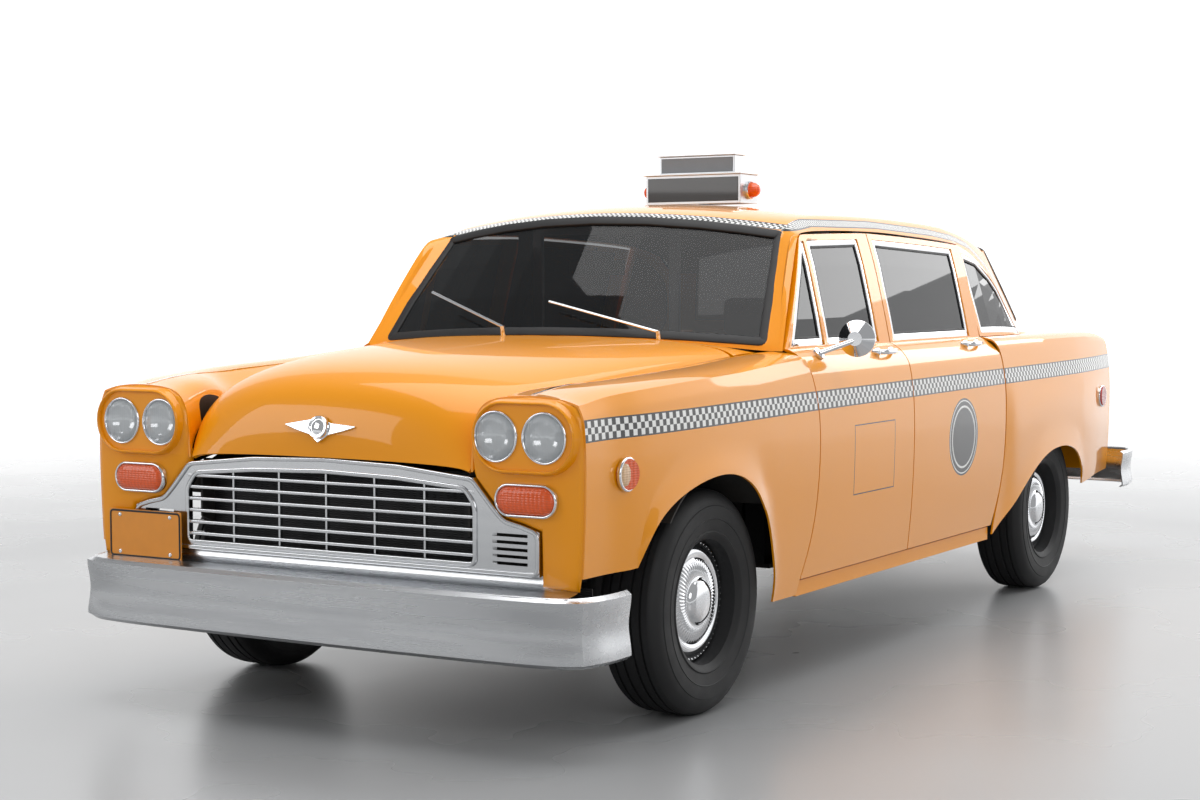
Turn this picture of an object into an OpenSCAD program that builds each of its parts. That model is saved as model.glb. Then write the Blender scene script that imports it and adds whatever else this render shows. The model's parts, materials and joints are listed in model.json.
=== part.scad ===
// Four-door taxi cab on a separate chassis frame.
// X runs forward, Y to the driver's side (left), Z up. The ground is Z = 0, and
// X = 0 is half way between the faces of the two bumpers. All sizes are in millimetres.

/* [Overall] */
// Distance between the front and rear axles
wheelbase = 3048; // [2500:1:3700]
// From the front axle to the front bumper's face
front_overhang = 840; // [780:1:1010]
// From the rear axle to the rear bumper's face
rear_overhang = 1272; // [1180:1:1530]
// Half of the body's greatest width
half_width = 963; // [930:1:1160]
// Height of the roof panel's crown
roof_z = 1615; // [1560:1:1940]
// Height of the belt line under the side windows
belt_z = 1095; // [1040:1:1160]
// Height of the bottom edge of the body
sill_z = 292; // [250:1:340]

/* [Wheels] */
// Radius of the tyre under load, which is the height of the axles
tyre_r = 346; // [290:1:415]
// Width of the tyre across its sidewalls
tyre_w = 214; // [180:1:250]
// Radius of the wheel rim at the bead seat
rim_r = 190; // [160:1:228]
// Distance between the middles of the front tyres
front_track = 1612; // [1560:1:1660]
// Distance between the middles of the rear tyres
rear_track = 1606; // [1560:1:1660]
// Greatest steering angle either way, in degrees
steer_max = 30; // [10:1:34]
// Radius of the front spindle and the rear axle shaft
spindle_r = 20; // [16:1:24]

/* [Panels] */
// Thickness of the pressed fenders and quarter panels
skin_t = 7; // [4:1:9]
// Thickness of a door's lower part, skin to trim
door_t = 56; // [46:1:66]
// Thickness of a door's window frame
frame_t = 28; // [22:1:34]
// Thickness of the roof with its lining
roof_t = 24; // [18:1:30]
// Thickness of all glass
glass_t = 5; // [3:1:6]
// Gap between panels that move and their neighbours
panel_gap = 6; // [5:0.5:7]
// Length of the front door at mid height
front_door_l = 790; // [660:1:950]

/* [Fittings] */
// Radius of each headlamp
lamp_r = 72; // [60:1:80]
// Height of the headlamps' middle
lamp_z = 890; // [860:1:910]
// Width of the lower box of the roof sign
sign_w = 415; // [340:1:500]
// Height of the lower box of the roof sign
sign_h = 112; // [90:1:135]
// Height of each bumper's face
bumper_h = 196; // [160:1:235]
// Radius of the steering wheel's rim
steering_r = 200; // [165:1:215]

/* [Hidden] */
$fn = 48;

taxi_yellow = [0.98, 0.62, 0.04];
bright = [0.75, 0.76, 0.78];
black = [0.06, 0.06, 0.07];
amber = [0.95, 0.35, 0.05];
red = [0.7, 0.05, 0.05];
tint = [0.35, 0.4, 0.45, 0.4];

// --- Stations along the car ---------------------------------------------------------------
overall_l = front_overhang + wheelbase + rear_overhang;
fa = overall_l / 2 - front_overhang; // front axle
ra = fa - wheelbase;                 // rear axle
nose_x = fa + 722;                   // front face of the fenders
tail_x = ra - 905;                   // rear face of the quarter panels
door_edge_x = fa - 664;              // front edge of the front door at its fullest
door_split_x = door_edge_x - front_door_l;
seam = panel_gap / 2;                // each panel stops this far short of its shut line
seat_gap = 0.5;                      // between solids that rest on each other without a flat face
frame_top_z = 372;                   // top of the frame rails and underside of the floor
floor_t = 14;
rail_y = 430;                        // middle of a frame rail

// --- Smooth curves through points --------------------------------------------------------
// A table is a list of [position, value] with rising positions.
function segment(t, x, i = 0) = i >= len(t) - 2 || x < t[i + 1][0] ? i : segment(t, x, i + 1);
function slope(t, i) =
    let (a = max(i - 1, 0), b = min(i + 1, len(t) - 1)) (t[b][1] - t[a][1]) / (t[b][0] - t[a][0]);
function curve(t, x) =
    let (
        c = max(t[0][0], min(t[len(t) - 1][0], x)), i = segment(t, c),
        h = t[i + 1][0] - t[i][0], u = (c - t[i][0]) / h
    )
    (2 * u^3 - 3 * u^2 + 1) * t[i][1] + (u^3 - 2 * u^2 + u) * h * slope(t, i)
        + (3 * u^2 - 2 * u^3) * t[i + 1][1] + (u^3 - u^2) * h * slope(t, i + 1);
function line(t, x) =
    let (
        c = max(t[0][0], min(t[len(t) - 1][0], x)), i = segment(t, c),
        u = (c - t[i][0]) / (t[i + 1][0] - t[i][0])
    )
    t[i][1] + u * (t[i + 1][1] - t[i][1]);
function mix(a, b, u) = a + (b - a) * u;
function smooth(u) = let (c = max(0, min(1, u))) c * c * (3 - 2 * c);
function steps(a, b, n) = [for (k = [0:n]) mix(a, b, k / n)];
function unit(v) = norm(v) < 1e-9 ? [0, 0, 1] : v / norm(v);

// --- Skins --------------------------------------------------------------------------------
// A grid is a list of columns of points. Columns run from front to rear, and points in a
// column run up the left side and then over to the right, so that the outside is outwards.
function grid_normal(g, i, j) =
    let (
        n = len(g) - 1, m = len(g[0]) - 1,
        a = g[max(i - 1, 0)][j], b = g[min(i + 1, n)][j],
        c = g[i][max(j - 1, 0)], d = g[i][min(j + 1, m)]
    )
    unit(cross(b - a, d - c));
function inset(g, t) =
    [for (i = [0:len(g) - 1]) [for (j = [0:len(g[0]) - 1]) g[i][j] - t * grid_normal(g, i, j)]];
// The same, but each point stays in its own plane across the car
function inset_across(g, t) =
    [for (i = [0:len(g) - 1]) [for (j = [0:len(g[0]) - 1])
        let (v = grid_normal(g, i, j)) g[i][j] - t * unit([0, v.y, v.z])]];
function shifted(g, v) = [for (c = g) [for (p = c) p + v]];
// The grid with its border drawn in by d, for a pane that sits in an opening
function drawn_in(g, d) =
    let (n = len(g) - 1, m = len(g[0]) - 1)
    [for (i = [0:n]) [for (j = [0:m])
        let (p = g[i][j])
        p + d * (i == 0 ? unit(g[1][j] - p) : i == n ? unit(g[n - 1][j] - p) : [0, 0, 0])
            + d * (j == 0 ? unit(g[i][1] - p) : j == m ? unit(g[i][m - 1] - p) : [0, 0, 0])]];
function part_of(g, i0, i1, j0, j1) = [for (i = [i0:i1]) [for (j = [j0:j1]) g[i][j]]];
every_cell = function (i, j) true;

// A closed shell between an outer and an inner grid. Cells that keep() leaves out are open,
// and each border of the rest gets a wall.
module skin(outer, inner, keep = every_cell) {
    n = len(outer) - 1;
    m = len(outer[0]) - 1;
    here = function (i, j) i >= 0 && j >= 0 && i < n && j < m && keep(i, j);
    used = function (i, j) here(i, j) || here(i - 1, j) || here(i, j - 1) || here(i - 1, j - 1);
    flat = [for (i = [0:n], j = [0:m]) if (used(i, j)) [i, j]];
    count = len(flat);
    // Number of each grid point among those in use
    row = [for (i = 0, c = 0; i <= n; c = c + len([for (j = [0:m]) if (used(i, j)) 1]), i = i + 1) c];
    at = [for (i = [0:n]) [for (j = 0, c = row[i]; j <= m; c = c + (used(i, j) ? 1 : 0), j = j + 1) c]];
    o = function (i, j) at[i][j];
    k = function (i, j) at[i][j] + count;
    cells = [for (i = [0:n - 1], j = [0:m - 1]) if (here(i, j)) [i, j]];
    faces = concat(
        [for (c = cells) let (i = c.x, j = c.y) [o(i, j), o(i, j + 1), o(i + 1, j + 1)]],
        [for (c = cells) let (i = c.x, j = c.y) [o(i, j), o(i + 1, j + 1), o(i + 1, j)]],
        [for (c = cells) let (i = c.x, j = c.y) [k(i, j), k(i + 1, j + 1), k(i, j + 1)]],
        [for (c = cells) let (i = c.x, j = c.y) [k(i, j), k(i + 1, j), k(i + 1, j + 1)]],
        [for (c = cells) let (i = c.x, j = c.y) if (!here(i - 1, j))
            each [[o(i, j), k(i, j), k(i, j + 1)], [o(i, j), k(i, j + 1), o(i, j + 1)]]],
        [for (c = cells) let (i = c.x + 1, j = c.y) if (!here(i, j))
            each [[o(i, j), k(i, j + 1), k(i, j)], [o(i, j), o(i, j + 1), k(i, j + 1)]]],
        [for (c = cells) let (i = c.x, j = c.y) if (!here(i, j - 1))
            each [[o(i, j), k(i + 1, j), k(i, j)], [o(i, j), o(i + 1, j), k(i + 1, j)]]],
        [for (c = cells) let (i = c.x, j = c.y + 1) if (!here(i, j))
            each [[o(i, j), k(i, j), k(i + 1, j)], [o(i, j), k(i + 1, j), o(i + 1, j)]]]
    );
    points = concat([for (f = flat) outer[f.x][f.y]], [for (f = flat) inner[f.x][f.y]]);
    polyhedron(points = points, faces = faces, convexity = 8);
}
module both_sides() {
    children();
    mirror([0, 1, 0]) children();
}
module block(x, y, z) {
    translate([x[0], y[0], z[0]]) cube([x[1] - x[0], y[1] - y[0], z[1] - z[0]]);
}
// A flat plate drawn in X and Z, from y0 to y1
module plate_xz(y0, y1) {
    translate([0, y1, 0]) rotate([90, 0, 0]) linear_extrude(y1 - y0) children();
}
// A flat plate drawn in Y and Z, from x0 to x1
module plate_yz(x0, x1) {
    translate([x0, 0, 0]) rotate([90, 0, 90]) linear_extrude(x1 - x0) children();
}
module rod(a, b, r) {
    v = b - a;
    translate(a) rotate([0, acos(v.z / norm(v)), atan2(v.y, v.x)]) cylinder(r = r, h = norm(v));
}

// --- The body's side ----------------------------------------------------------------------
// Half width of the body along the car
plan = [
    [tail_x, half_width - 66], [tail_x + 250, half_width - 36], [ra - 250, half_width - 10],
    [ra + 600, half_width - 2], [0, half_width], [fa - 640, half_width],
    [fa, half_width - 5], [fa + 260, half_width - 14], [fa + 460, half_width - 30],
    [nose_x - 140, half_width - 52]
];
// How far the side falls in from its greatest width, by height
tuck = [[sill_z - 40, 42], [sill_z + 10, 32], [500, 11], [700, 1], [860, 0], [960, 8], [belt_z - 60, 24]];
shoulder_h = 62;
over = 3; // spaces over the shoulder
square = 0.75; // how square the shoulder is: 1 is an ellipse
// Crest of the fenders' tops: height and half width along the car
crest_z = [
    [tail_x, belt_z - 26], [tail_x + 130, belt_z - 6], [ra - 300, belt_z + 3],
    [ra + 250, belt_z + 3], [fa - 600, belt_z - 5], [fa - 140, belt_z - 31],
    [fa + 260, belt_z - 48], [fa + 560, belt_z - 68], [nose_x - 20, belt_z - 88]
];
crest_y = [
    [tail_x, half_width - 145], [ra - 300, half_width - 128], [ra + 60, half_width - 118],
    [ra + 250, half_width - 98], [fa - 720, half_width - 100], [fa - 600, half_width - 148],
    [fa - 140, half_width - 163], [fa + 260, half_width - 180], [fa + 560, half_width - 215],
    [nose_x - 20, half_width - 240]
];
// Front wheel arch: height of its edge
arch_front = [
    [fa - 378, sill_z + 6], [fa - 356, 372], [fa - 330, 446], [fa - 281, 572], [fa - 191, 680],
    [fa - 100, 727], [fa, 744], [fa + 110, 739], [fa + 207, 719], [fa + 310, 684],
    [fa + 385, 638], [fa + 435, 577], [fa + 462, 508]
];
arch_rear = [
    [ra - 352, 425], [ra - 318, 492], [ra - 265, 550], [ra - 190, 592], [ra - 100, 612],
    [ra, 618], [ra + 110, 612], [ra + 215, 592], [ra + 330, 548], [ra + 450, 482],
    [ra + 560, 412], [ra + 660, 352], [ra + 742, sill_z + 16]
];
// The rear fender swells out over its wheel, behind a soft step in the rear door's shut line
function swell(x, z) =
    16 * smooth((ra + 640 - x) / 70) * smooth((930 - z) / 130) * smooth((x - tail_x - 40) / 500);
// A rolled lip round each wheel arch
function lip(x, z) =
    let (
        f = x > fa - 378 && x < fa + 462 ? z - line(arch_front, x) : 1000,
        r = x > ra - 352 && x < ra + 742 ? z - line(arch_rear, x) : 1000
    )
    14 * (1 - smooth(abs(f) / 80)) + 8 * (1 - smooth(abs(r) / 70));
function side_y(x, z) = curve(plan, x) - curve(tuck, z) + swell(x, z) + lip(x, z);
// Point on the shoulder, a degrees up from the side towards the crest
function shoulder(x, a) =
    let (zc = curve(crest_z, x), yc = curve(crest_y, x), z1 = zc - shoulder_h, y1 = side_y(x, z1))
    [x, yc + (y1 - yc) * cos(a)^square, z1 + shoulder_h * sin(a)^square];
// Points up the side from z0 to the foot of the shoulder, spaced as on the doors
side_z = [450, 560, 680, 800, 910, belt_z - 95];
shoulder_z = belt_z + 2 - shoulder_h;
panel_foot = sill_z + 6;
door_bottom_z = sill_z + 56;
function flank(x, z0) =
    let (z1 = curve(crest_z, x) - shoulder_h)
    [for (z = concat([panel_foot, door_bottom_z], side_z, [shoulder_z]))
        let (u = (z - panel_foot) / (shoulder_z - panel_foot), q = mix(z0, z1, u)) [x, side_y(x, q), q]];
// The inner slope from a fender's crest down to the shut line of the hood or the trunk lid:
// a soft valley along the car that turns into a full round nose beside the lamps
function slope_in(x, yv, zv, n) =
    let (
        zc = curve(crest_z, x), yc = curve(crest_y, x), full = smooth((x - fa - 330) / 260),
        valley = function (u) [mix(yc, yv, u), zv + (zc - zv) * (1 + cos(180 * u)) / 2],
        round = function (u) [mix(yc, yv, sin(90 * u)^0.5), mix(zv, zc, cos(90 * u)^0.5)]
    )
    [for (k = [1:n]) let (u = k / n, p = mix(valley(u), round(u), full)) [x, p.x, p.y]];

// Shut lines of the hood and of the trunk lid
hood_seam_y = [
    [fa - 600, 748], [fa - 320, 703], [fa + 120, 635], [fa + 480, 591], [fa + 650, 558], [fa + 730, 520]
];
hood_seam_z = [
    [fa - 600, belt_z - 9], [fa - 320, belt_z - 33], [fa - 100, belt_z - 60], [fa + 120, belt_z - 92],
    [fa + 320, belt_z - 130], [fa + 480, belt_z - 165], [fa + 580, belt_z - 195],
    [fa + 650, belt_z - 227], [fa + 690, belt_z - 263], [fa + 730, belt_z - 323]
];
lid_front_x = ra - 292;
lid_seam_y = [
    [tail_x, 632], [ra - 790, 636], [ra - 670, 641], [ra - 490, 647], [lid_front_x, 653],
    [ra + 58, 806], [ra + 236, 856], [ra + 650, 860]
];
lid_seam_z = [
    [tail_x, belt_z - 62], [tail_x + 130, belt_z - 42], [lid_front_x, belt_z - 24],
    [lid_front_x + 200, belt_z - 9], [ra + 58, belt_z], [ra + 650, belt_z]
];

// Front door's leading edge, and the rear edge of the rear door, by height
lead_edge = [
    [sill_z, fa - 545], [door_bottom_z, fa - 562], [450, fa - 612], [560, fa - 642], [680, fa - 657],
    [800, fa - 662], [910, fa - 656], [belt_z - 95, fa - 638], [shoulder_z, fa - 628], [belt_z + 2, fa - 609]
];
trail_edge = [
    [sill_z, ra + 745], [door_bottom_z, ra + 742], [450, ra + 693], [560, ra + 660], [680, ra + 648],
    [910, ra + 646], [shoulder_z, ra + 654], [belt_z + 2, ra + 698]
];

// --- Greenhouse ---------------------------------------------------------------------------
// Each row runs from the drip rail (edge) over the pillar (post) to the middle of the car,
// from the foot of the windshield to the foot of the rear window.
rows = [
    [[fa - 602, 852, belt_z - 4.5], [fa - 612, 782, belt_z - 4.5], [fa - 518, 0, belt_z + 35]],
    [[fa - 611, 849, belt_z + 15], [fa - 619, 776, belt_z + 21], [fa - 526, 0, belt_z + 51]],
    [[fa - 692, 826, belt_z + 145], [fa - 712, 750, belt_z + 150], [fa - 613, 0, belt_z + 186]],
    [[fa - 778, 802, roof_z - 253], [fa - 813, 720, roof_z - 245], [fa - 713, 0, roof_z - 200]],
    [[fa - 860, 778, roof_z - 141], [fa - 912, 690, roof_z - 127], [fa - 815, 0, roof_z - 67]],
    [[fa - 900, 768, roof_z - 127], [fa - 945, 692, roof_z - 101], [fa - 852, 0, roof_z - 42]],
    [[fa - 1050, 762, roof_z - 118], [fa - 1060, 700, roof_z - 68], [fa - 1030, 0, roof_z - 13]],
    [[fa - 1310, 760, roof_z - 113], [fa - 1310, 702, roof_z - 60], [fa - 1300, 0, roof_z - 1]],
    [[fa - 1590, 760, roof_z - 113], [fa - 1590, 702, roof_z - 58], [fa - 1590, 0, roof_z]],
    [[0, 760, roof_z - 118], [-130, 702, roof_z - 61], [-130, 0, roof_z - 1]],
    [[-390, 760, roof_z - 130], [-390, 702, roof_z - 68], [-395, 0, roof_z - 4]],
    [[ra + 692, 761, roof_z - 146], [ra + 692, 702, roof_z - 79], [ra + 680, 0, roof_z - 9]],
    [[ra + 668, 761, roof_z - 149], [ra + 668, 702, roof_z - 82], [ra + 640, 0, roof_z - 11]],
    [[ra + 518, 764, roof_z - 176], [ra + 478, 704, roof_z - 105], [ra + 360, 0, roof_z - 20]],
    [[ra + 383, 775, roof_z - 248], [ra + 310, 702, roof_z - 140], [ra + 130, 0, roof_z - 40]],
    [[ra + 323, 790, roof_z - 305], [ra + 222, 698, roof_z - 165], [ra - 10, 0, roof_z - 72]],
    [[ra + 273, 814, belt_z + 127], [ra + 143, 748, belt_z + 200], [ra - 115, 0, belt_z + 240]],
    [[ra + 244, 842, belt_z + 45], [ra + 71, 792, belt_z + 53], [ra - 207, 0, belt_z + 55]],
    [[ra + 236, 858.4, belt_z + 1.5], [ra + 58, 808.4, belt_z + 2], [ra - 237, 0, belt_z + 25]]
];
// Heights of the points between the belt and the drip rail, as shares
rise = [0, 0.04, 0.34, 0.64, 0.91];
across = 5; // spaces between a pillar and the middle
function half_row(r) =
    let (e = r[0], p = r[1], c = r[2])
    concat(
        [for (f = rise) [e.x, mix(866, e.y, f), mix(belt_z + 4, e.z, f)]],
        [e],
        [for (k = [0:across]) let (a = 90 * k / across)
            [mix(p.x, c.x, sin(a)^2), p.y * cos(a), mix(p.z, c.z, sin(a)^2)]]
    );
function mirrored(h) = concat(h, [for (k = [len(h) - 2:-1:0]) [h[k].x, -h[k].y, h[k].z]]);
house = [for (r = rows) mirrored(half_row(r))];
last_i = len(rows) - 1;
last_j = len(house[0]) - 2;
// The way into the panel from each point: square to it, but level across the car along the
// doors and quarter windows, and level at the feet of the two screens
function inward(i, j) =
    let (n = grid_normal(house, i, j))
    j <= 5 ? [0, -1, 0]
    : j >= last_j - 4 ? [0, 1, 0]
    : i == 0 || i == last_i ? -unit([n.x, n.y, 0])
    : -n;
function house_depth(t) =
    [for (i = [0:last_i]) [for (j = [0:last_j + 1]) house[i][j] + t * inward(i, j)]];
post_j = 6;
function house_cell(i, j) =
    let (s = min(j, last_j - j))
    s == 5 ? true
    : s < 5 ? i >= 11 && !(i >= 12 && i <= 16 && s >= 1 && s <= 3)
    : !(i >= 1 && i <= 3) && !(i >= 15 && i <= 16);

module roof() {
    color(taxi_yellow) skin(house, house_depth(roof_t), function (i, j) house_cell(i, j));
}
// A pane in an opening of the greenhouse, between two rows and two points of each row
module pane(i0, i1, j0, j1, depth) {
    face = function (d) drawn_in(part_of(house_depth(d), i0, i1, j0, j1), seat_gap);
    skin(face(depth), face(depth + glass_t));
}
module windshield() {
    color(tint) pane(1, 4, post_j, last_j + 1 - post_j, 8);
}
module rear_window() {
    color(tint) pane(15, 17, post_j, last_j + 1 - post_j, 8);
}
module quarter_glass() {
    color(tint) both_sides() pane(12, 17, 1, 4, 8);
}

// --- Doors --------------------------------------------------------------------------------
// Outer face of a door above the foot of its shoulder
frame_y = [
    [belt_z + 2, 866], [belt_z + 105, 845], [belt_z + 205, 822], [belt_z + 305, 798],
    [roof_z - 120, 768]
];
drip_z = [for (k = [len(rows) - 2:-1:4]) [rows[k][0].x, rows[k][0].z]];
function door_y(x, z) =
    let (zs = shoulder_z, ys = side_y(x, zs), yt = 867)
    z <= zs ? side_y(x, z)
    : z < belt_z + 2 ? yt + (ys - yt) * (1 - ((z - zs) / (belt_z + 2 - zs))^(1 / square))^square
    : curve(frame_y, z);
function door_depth(z) = mix(door_t, frame_t, smooth((z - belt_z + 70) / 60));
low_rows = concat(
    [door_bottom_z], side_z, [shoulder_z],
    [for (k = [1:over]) shoulder_z + shoulder_h * sin(90 * k / over)^square]
);
window_z = belt_z + 10;
door_gap_top = 8;

// foot: x of each column below the belt, as a function of the column and the height.
// head: x of each column at the top of the frame. open: columns that start a window.
module door(edge_a, edge_b, foot, head, open) {
    n = len(foot) - 1;
    low = len(low_rows) - 1;
    top_z = [for (i = [0:n]) line(drip_z, head[i]) - door_gap_top];
    x_low = function (i, z)
        i == 0 ? edge_a(z) : i == n ? edge_b(z)
        : i == 1 && foot[0] - foot[1] < 45 ? edge_a(z) - (foot[0] - foot[1])
        : i == n - 1 && foot[n - 1] - foot[n] < 45 ? edge_b(z) + foot[n - 1] - foot[n]
        : foot[i];
    up = function (i, k)
        let (z = k == 0 ? window_z : k == 4 ? top_z[i] - 22 : k == 5 ? top_z[i]
            : mix(window_z, top_z[i] - 22, k / 4),
            x = mix(foot[i], head[i], (z - belt_z) / (top_z[i] - belt_z)))
        [x, door_y(x, z), z];
    outer = [for (i = [0:n]) concat(
        [for (z = low_rows) let (x = x_low(i, z)) [x, door_y(x, z), z]],
        [for (k = [0:5]) up(i, k)])];
    inner = [for (i = [0:n]) [for (p = outer[i])
        [p.x + (i == n ? 12 : i == 0 ? -2 : 0), p.y - door_depth(p.z), p.z]]];
    skin(outer, inner, function (i, j) !(j > low && j < low + 5 && len(search(i, open)) > 0));
}
// The glass of one window, between two columns of a door
module door_pane(foot, head, i0, i1) {
    g = [for (i = [i0, i1]) let (top = line(drip_z, head[i]) - door_gap_top - 22)
        [for (z = steps(window_z, top, 4))
            let (x = mix(foot[i], head[i], (z - belt_z) / (top + 22 - belt_z)))
            [x, door_y(x, z) - 10, z]]];
    p = drawn_in(g, seat_gap);
    skin(p, shifted(p, [0, -glass_t, 0]));
}
front_foot = [fa - 611, fa - 636, fa - 902, fa - 926, door_split_x + 96, door_split_x + seam];
front_head = [fa - 882, fa - 897, fa - 908, fa - 932, door_split_x + 94, door_split_x + seam];
rear_foot = [
    door_split_x - seam, door_split_x - 37, -130, ra + 806, ra + 698 + seam
];
rear_head = [
    door_split_x - seam, door_split_x - 37, -130, ra + 804, ra + 698 + seam + 1
];
module front_door() {
    door(function (z) line(lead_edge, z) - seam, function (z) door_split_x + seam,
        front_foot, front_head, [1, 3]);
}
module rear_door() {
    door(function (z) door_split_x - seam, function (z) line(trail_edge, z) + seam,
        rear_foot, rear_head, [1, 2]);
}
module front_door_left() { color(taxi_yellow) front_door(); }
module front_door_right() { color(taxi_yellow) mirror([0, 1, 0]) front_door(); }
module rear_door_left() { color(taxi_yellow) rear_door(); }
module rear_door_right() { color(taxi_yellow) mirror([0, 1, 0]) rear_door(); }
module front_glass() {
    door_pane(front_foot, front_head, 1, 2);
    door_pane(front_foot, front_head, 3, 4);
}
module front_door_glass_left() { color(tint) front_glass(); }
module front_door_glass_right() { color(tint) mirror([0, 1, 0]) front_glass(); }
module rear_glass() { door_pane(rear_foot, rear_head, 1, 3); }
module rear_door_glass_left() { color(tint) rear_glass(); }
module rear_door_glass_right() { color(tint) mirror([0, 1, 0]) rear_glass(); }

// --- Fenders and quarters -----------------------------------------------------------------
function panel_column(x, z0, yv, zv) =
    concat(flank(x, z0), [for (k = [1:over]) shoulder(x, 90 * k / over)], slope_in(x, yv, zv, 4));
fender_x = [
    nose_x, fa + 695, fa + 650, fa + 580, fa + 500, fa + 462, fa + 435, fa + 385, fa + 310, fa + 207,
    fa + 100, fa, fa - 100, fa - 191, fa - 245, fa - 281, fa - 330, fa - 356, fa - 378
];
function fender_foot(x) = x > fa + 462 ? 505 : line(arch_front, x);
function front_fender_column(x) =
    panel_column(x, fender_foot(x), curve(hood_seam_y, x) + seam, curve(hood_seam_z, x));
// Columns that lean over by u from the one at x0, until the last follows a door's edge
function leaning(column, x0, edge, u) =
    let (c = column(x0))
    [for (j = [0:len(c) - 1])
        let (z = column(edge(min(c[j].z, belt_z)))[j].z) column(mix(x0, edge(min(z, belt_z)), u))[j]];
module front_fender() {
    column = function (x) front_fender_column(x);
    edge = function (z) line(lead_edge, z) + seam;
    outer = concat(
        [for (x = fender_x) front_fender_column(x)],
        [for (u = [1 / 3, 2 / 3, 1]) leaning(column, fa - 378, edge, u)]
    );
    skin(outer, inset_across(outer, skin_t));
}
module front_fenders() {
    color(taxi_yellow) both_sides() front_fender();
}
quarter_x = [
    ra + 560, ra + 450, ra + 330, ra + 215, ra + 110, ra + 58, ra, ra - 100, ra - 190, ra - 265, ra - 318,
    ra - 352, ra - 460, ra - 620, ra - 760, ra - 860, tail_x
];
function quarter_foot(x) = x < ra - 352 ? 425 + 20 * smooth((ra - 352 - x) / 300) : line(arch_rear, x);
function quarter_column(x) =
    panel_column(x, quarter_foot(x), line(lid_seam_y, x) + seam, curve(lid_seam_z, x));
trail_gap = 4.3; // more room behind the rear door, whose edge slants
module rear_quarter() {
    column = function (x) quarter_column(x);
    edge = function (z) line(trail_edge, z) - seam - trail_gap;
    outer = concat(
        [for (u = [1, 0.5]) leaning(column, ra + 560, edge, u)],
        [for (x = quarter_x) quarter_column(x)]
    );
    skin(outer, inset_across(outer, skin_t));
}
module rear_quarters() {
    color(taxi_yellow) both_sides() rear_quarter();
}

// --- Hood, trunk lid, cowl and rear deck --------------------------------------------------
// Each row is [side, middle] from front to rear; a half section between them is a superellipse.
function dome_row(s, c, n, p) =
    mirrored([for (k = [0:n]) let (a = 90 * k / n)
        [mix(s.x, c.x, sin(a)^2), s.y * cos(a)^p, mix(s.z, c.z, sin(a)^p)]]);
hood_side_x = [fa + 722, fa + 706, fa + 684, fa + 650, fa + 580, fa + 480, fa + 320, fa + 120,
    fa - 100, fa - 320, fa - 478];
hood_middle = [
    [fa + 746, 806], [fa + 741, 880], [fa + 725, 950], [fa + 695, 1008], [fa + 630, belt_z - 40],
    [fa + 510, belt_z - 6], [fa + 330, belt_z + 14], [fa + 120, belt_z + 26],
    [fa - 100, belt_z + 34], [fa - 305, belt_z + 40], [fa - 428, belt_z + 43]
];
hood_grid = [for (k = [0:10]) let (x = hood_side_x[k], c = hood_middle[k])
    dome_row([x, curve(hood_seam_y, x) - seam - 0.3, curve(hood_seam_z, x)], [c[0], 0, c[1]], across, 0.85)];
hood_t = 14;
module hood() {
    color(taxi_yellow) skin(hood_grid, inset(hood_grid, hood_t));
}
lid_rows = [
    [[lid_front_x - seam, 650, belt_z - 24], [lid_front_x - seam, 0, belt_z + 24]],
    [[ra - 490, 644, belt_z - 28], [ra - 490, 0, belt_z + 27]],
    [[ra - 670, 638, belt_z - 36], [ra - 680, 0, belt_z + 14]],
    [[ra - 790, 633, belt_z - 57], [ra - 810, 0, belt_z - 20]],
    [[ra - 868, 629, belt_z - 102], [ra - 890, 0, belt_z - 74]],
    [[ra - 902, 625, belt_z - 170], [ra - 926, 0, belt_z - 155]],
    [[ra - 914, 620, belt_z - 275], [ra - 940, 0, belt_z - 275]],
    [[ra - 914, 610, 700], [ra - 940, 0, 695]],
    [[ra - 912, 600, 626], [ra - 934, 0, 616]]
];
lid_grid = [for (r = lid_rows) dome_row(r[0], r[1], across, 0.8)];
module trunk_lid() {
    color(taxi_yellow) skin(lid_grid, inset(lid_grid, hood_t));
}
module cowl() {
    edge = function (x) curve(hood_seam_y, x) + seam - 0.8;
    foot = house[0][post_j + across];
    x0 = fa - 479 - panel_gap;
    g = [
        dome_row([x0, edge(x0), belt_z - 17], [fa - 429 - panel_gap, 0, belt_z + 42], across, 0.85),
        dome_row([fa - 545, edge(fa - 545), belt_z - 10], [fa - 470, 0, belt_z + 38], across, 0.85),
        mirrored([for (k = [0:across]) let (a = 90 * k / across, u = sin(a)^2)
            [mix(fa - 617, foot.x - 6, u), edge(fa - 600) * cos(a), mix(belt_z - 10, foot.z - 0.8, u)]])
    ];
    color(taxi_yellow) skin(g, inset(g, 10));
}
module rear_deck() {
    n = last_i;
    front = [for (j = [post_j:post_j + 2 * across]) house[n][j] + [6, 0, -seat_gap]];
    s2 = [lid_front_x + seam, 653 + seam - seat_gap, belt_z - 24];
    rear = dome_row(s2, [lid_front_x + seam, 0, belt_z + 24], across, 0.8);
    g = [front, [for (j = [0:2 * across]) mix(front[j], rear[j], 0.5)], rear];
    color(taxi_yellow) skin(g, inset(g, 8));
}
module tail_panel() {
    z = curve(crest_z, tail_x);
    half = [
        [0, 440], [855, 440], [877, 560], [886, 700], [889, 860], [878, 960], [850, 1020], [800, 1055],
        [730, z - 8], [644, belt_z - 62], [636, belt_z - 104], [632, belt_z - 170],
        [626, belt_z - 275], [616, 700], [606, 612], [0, 604]
    ];
    color(taxi_yellow) both_sides() plate_yz(tail_x - 10, tail_x - 0.3) polygon(half);
}

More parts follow.
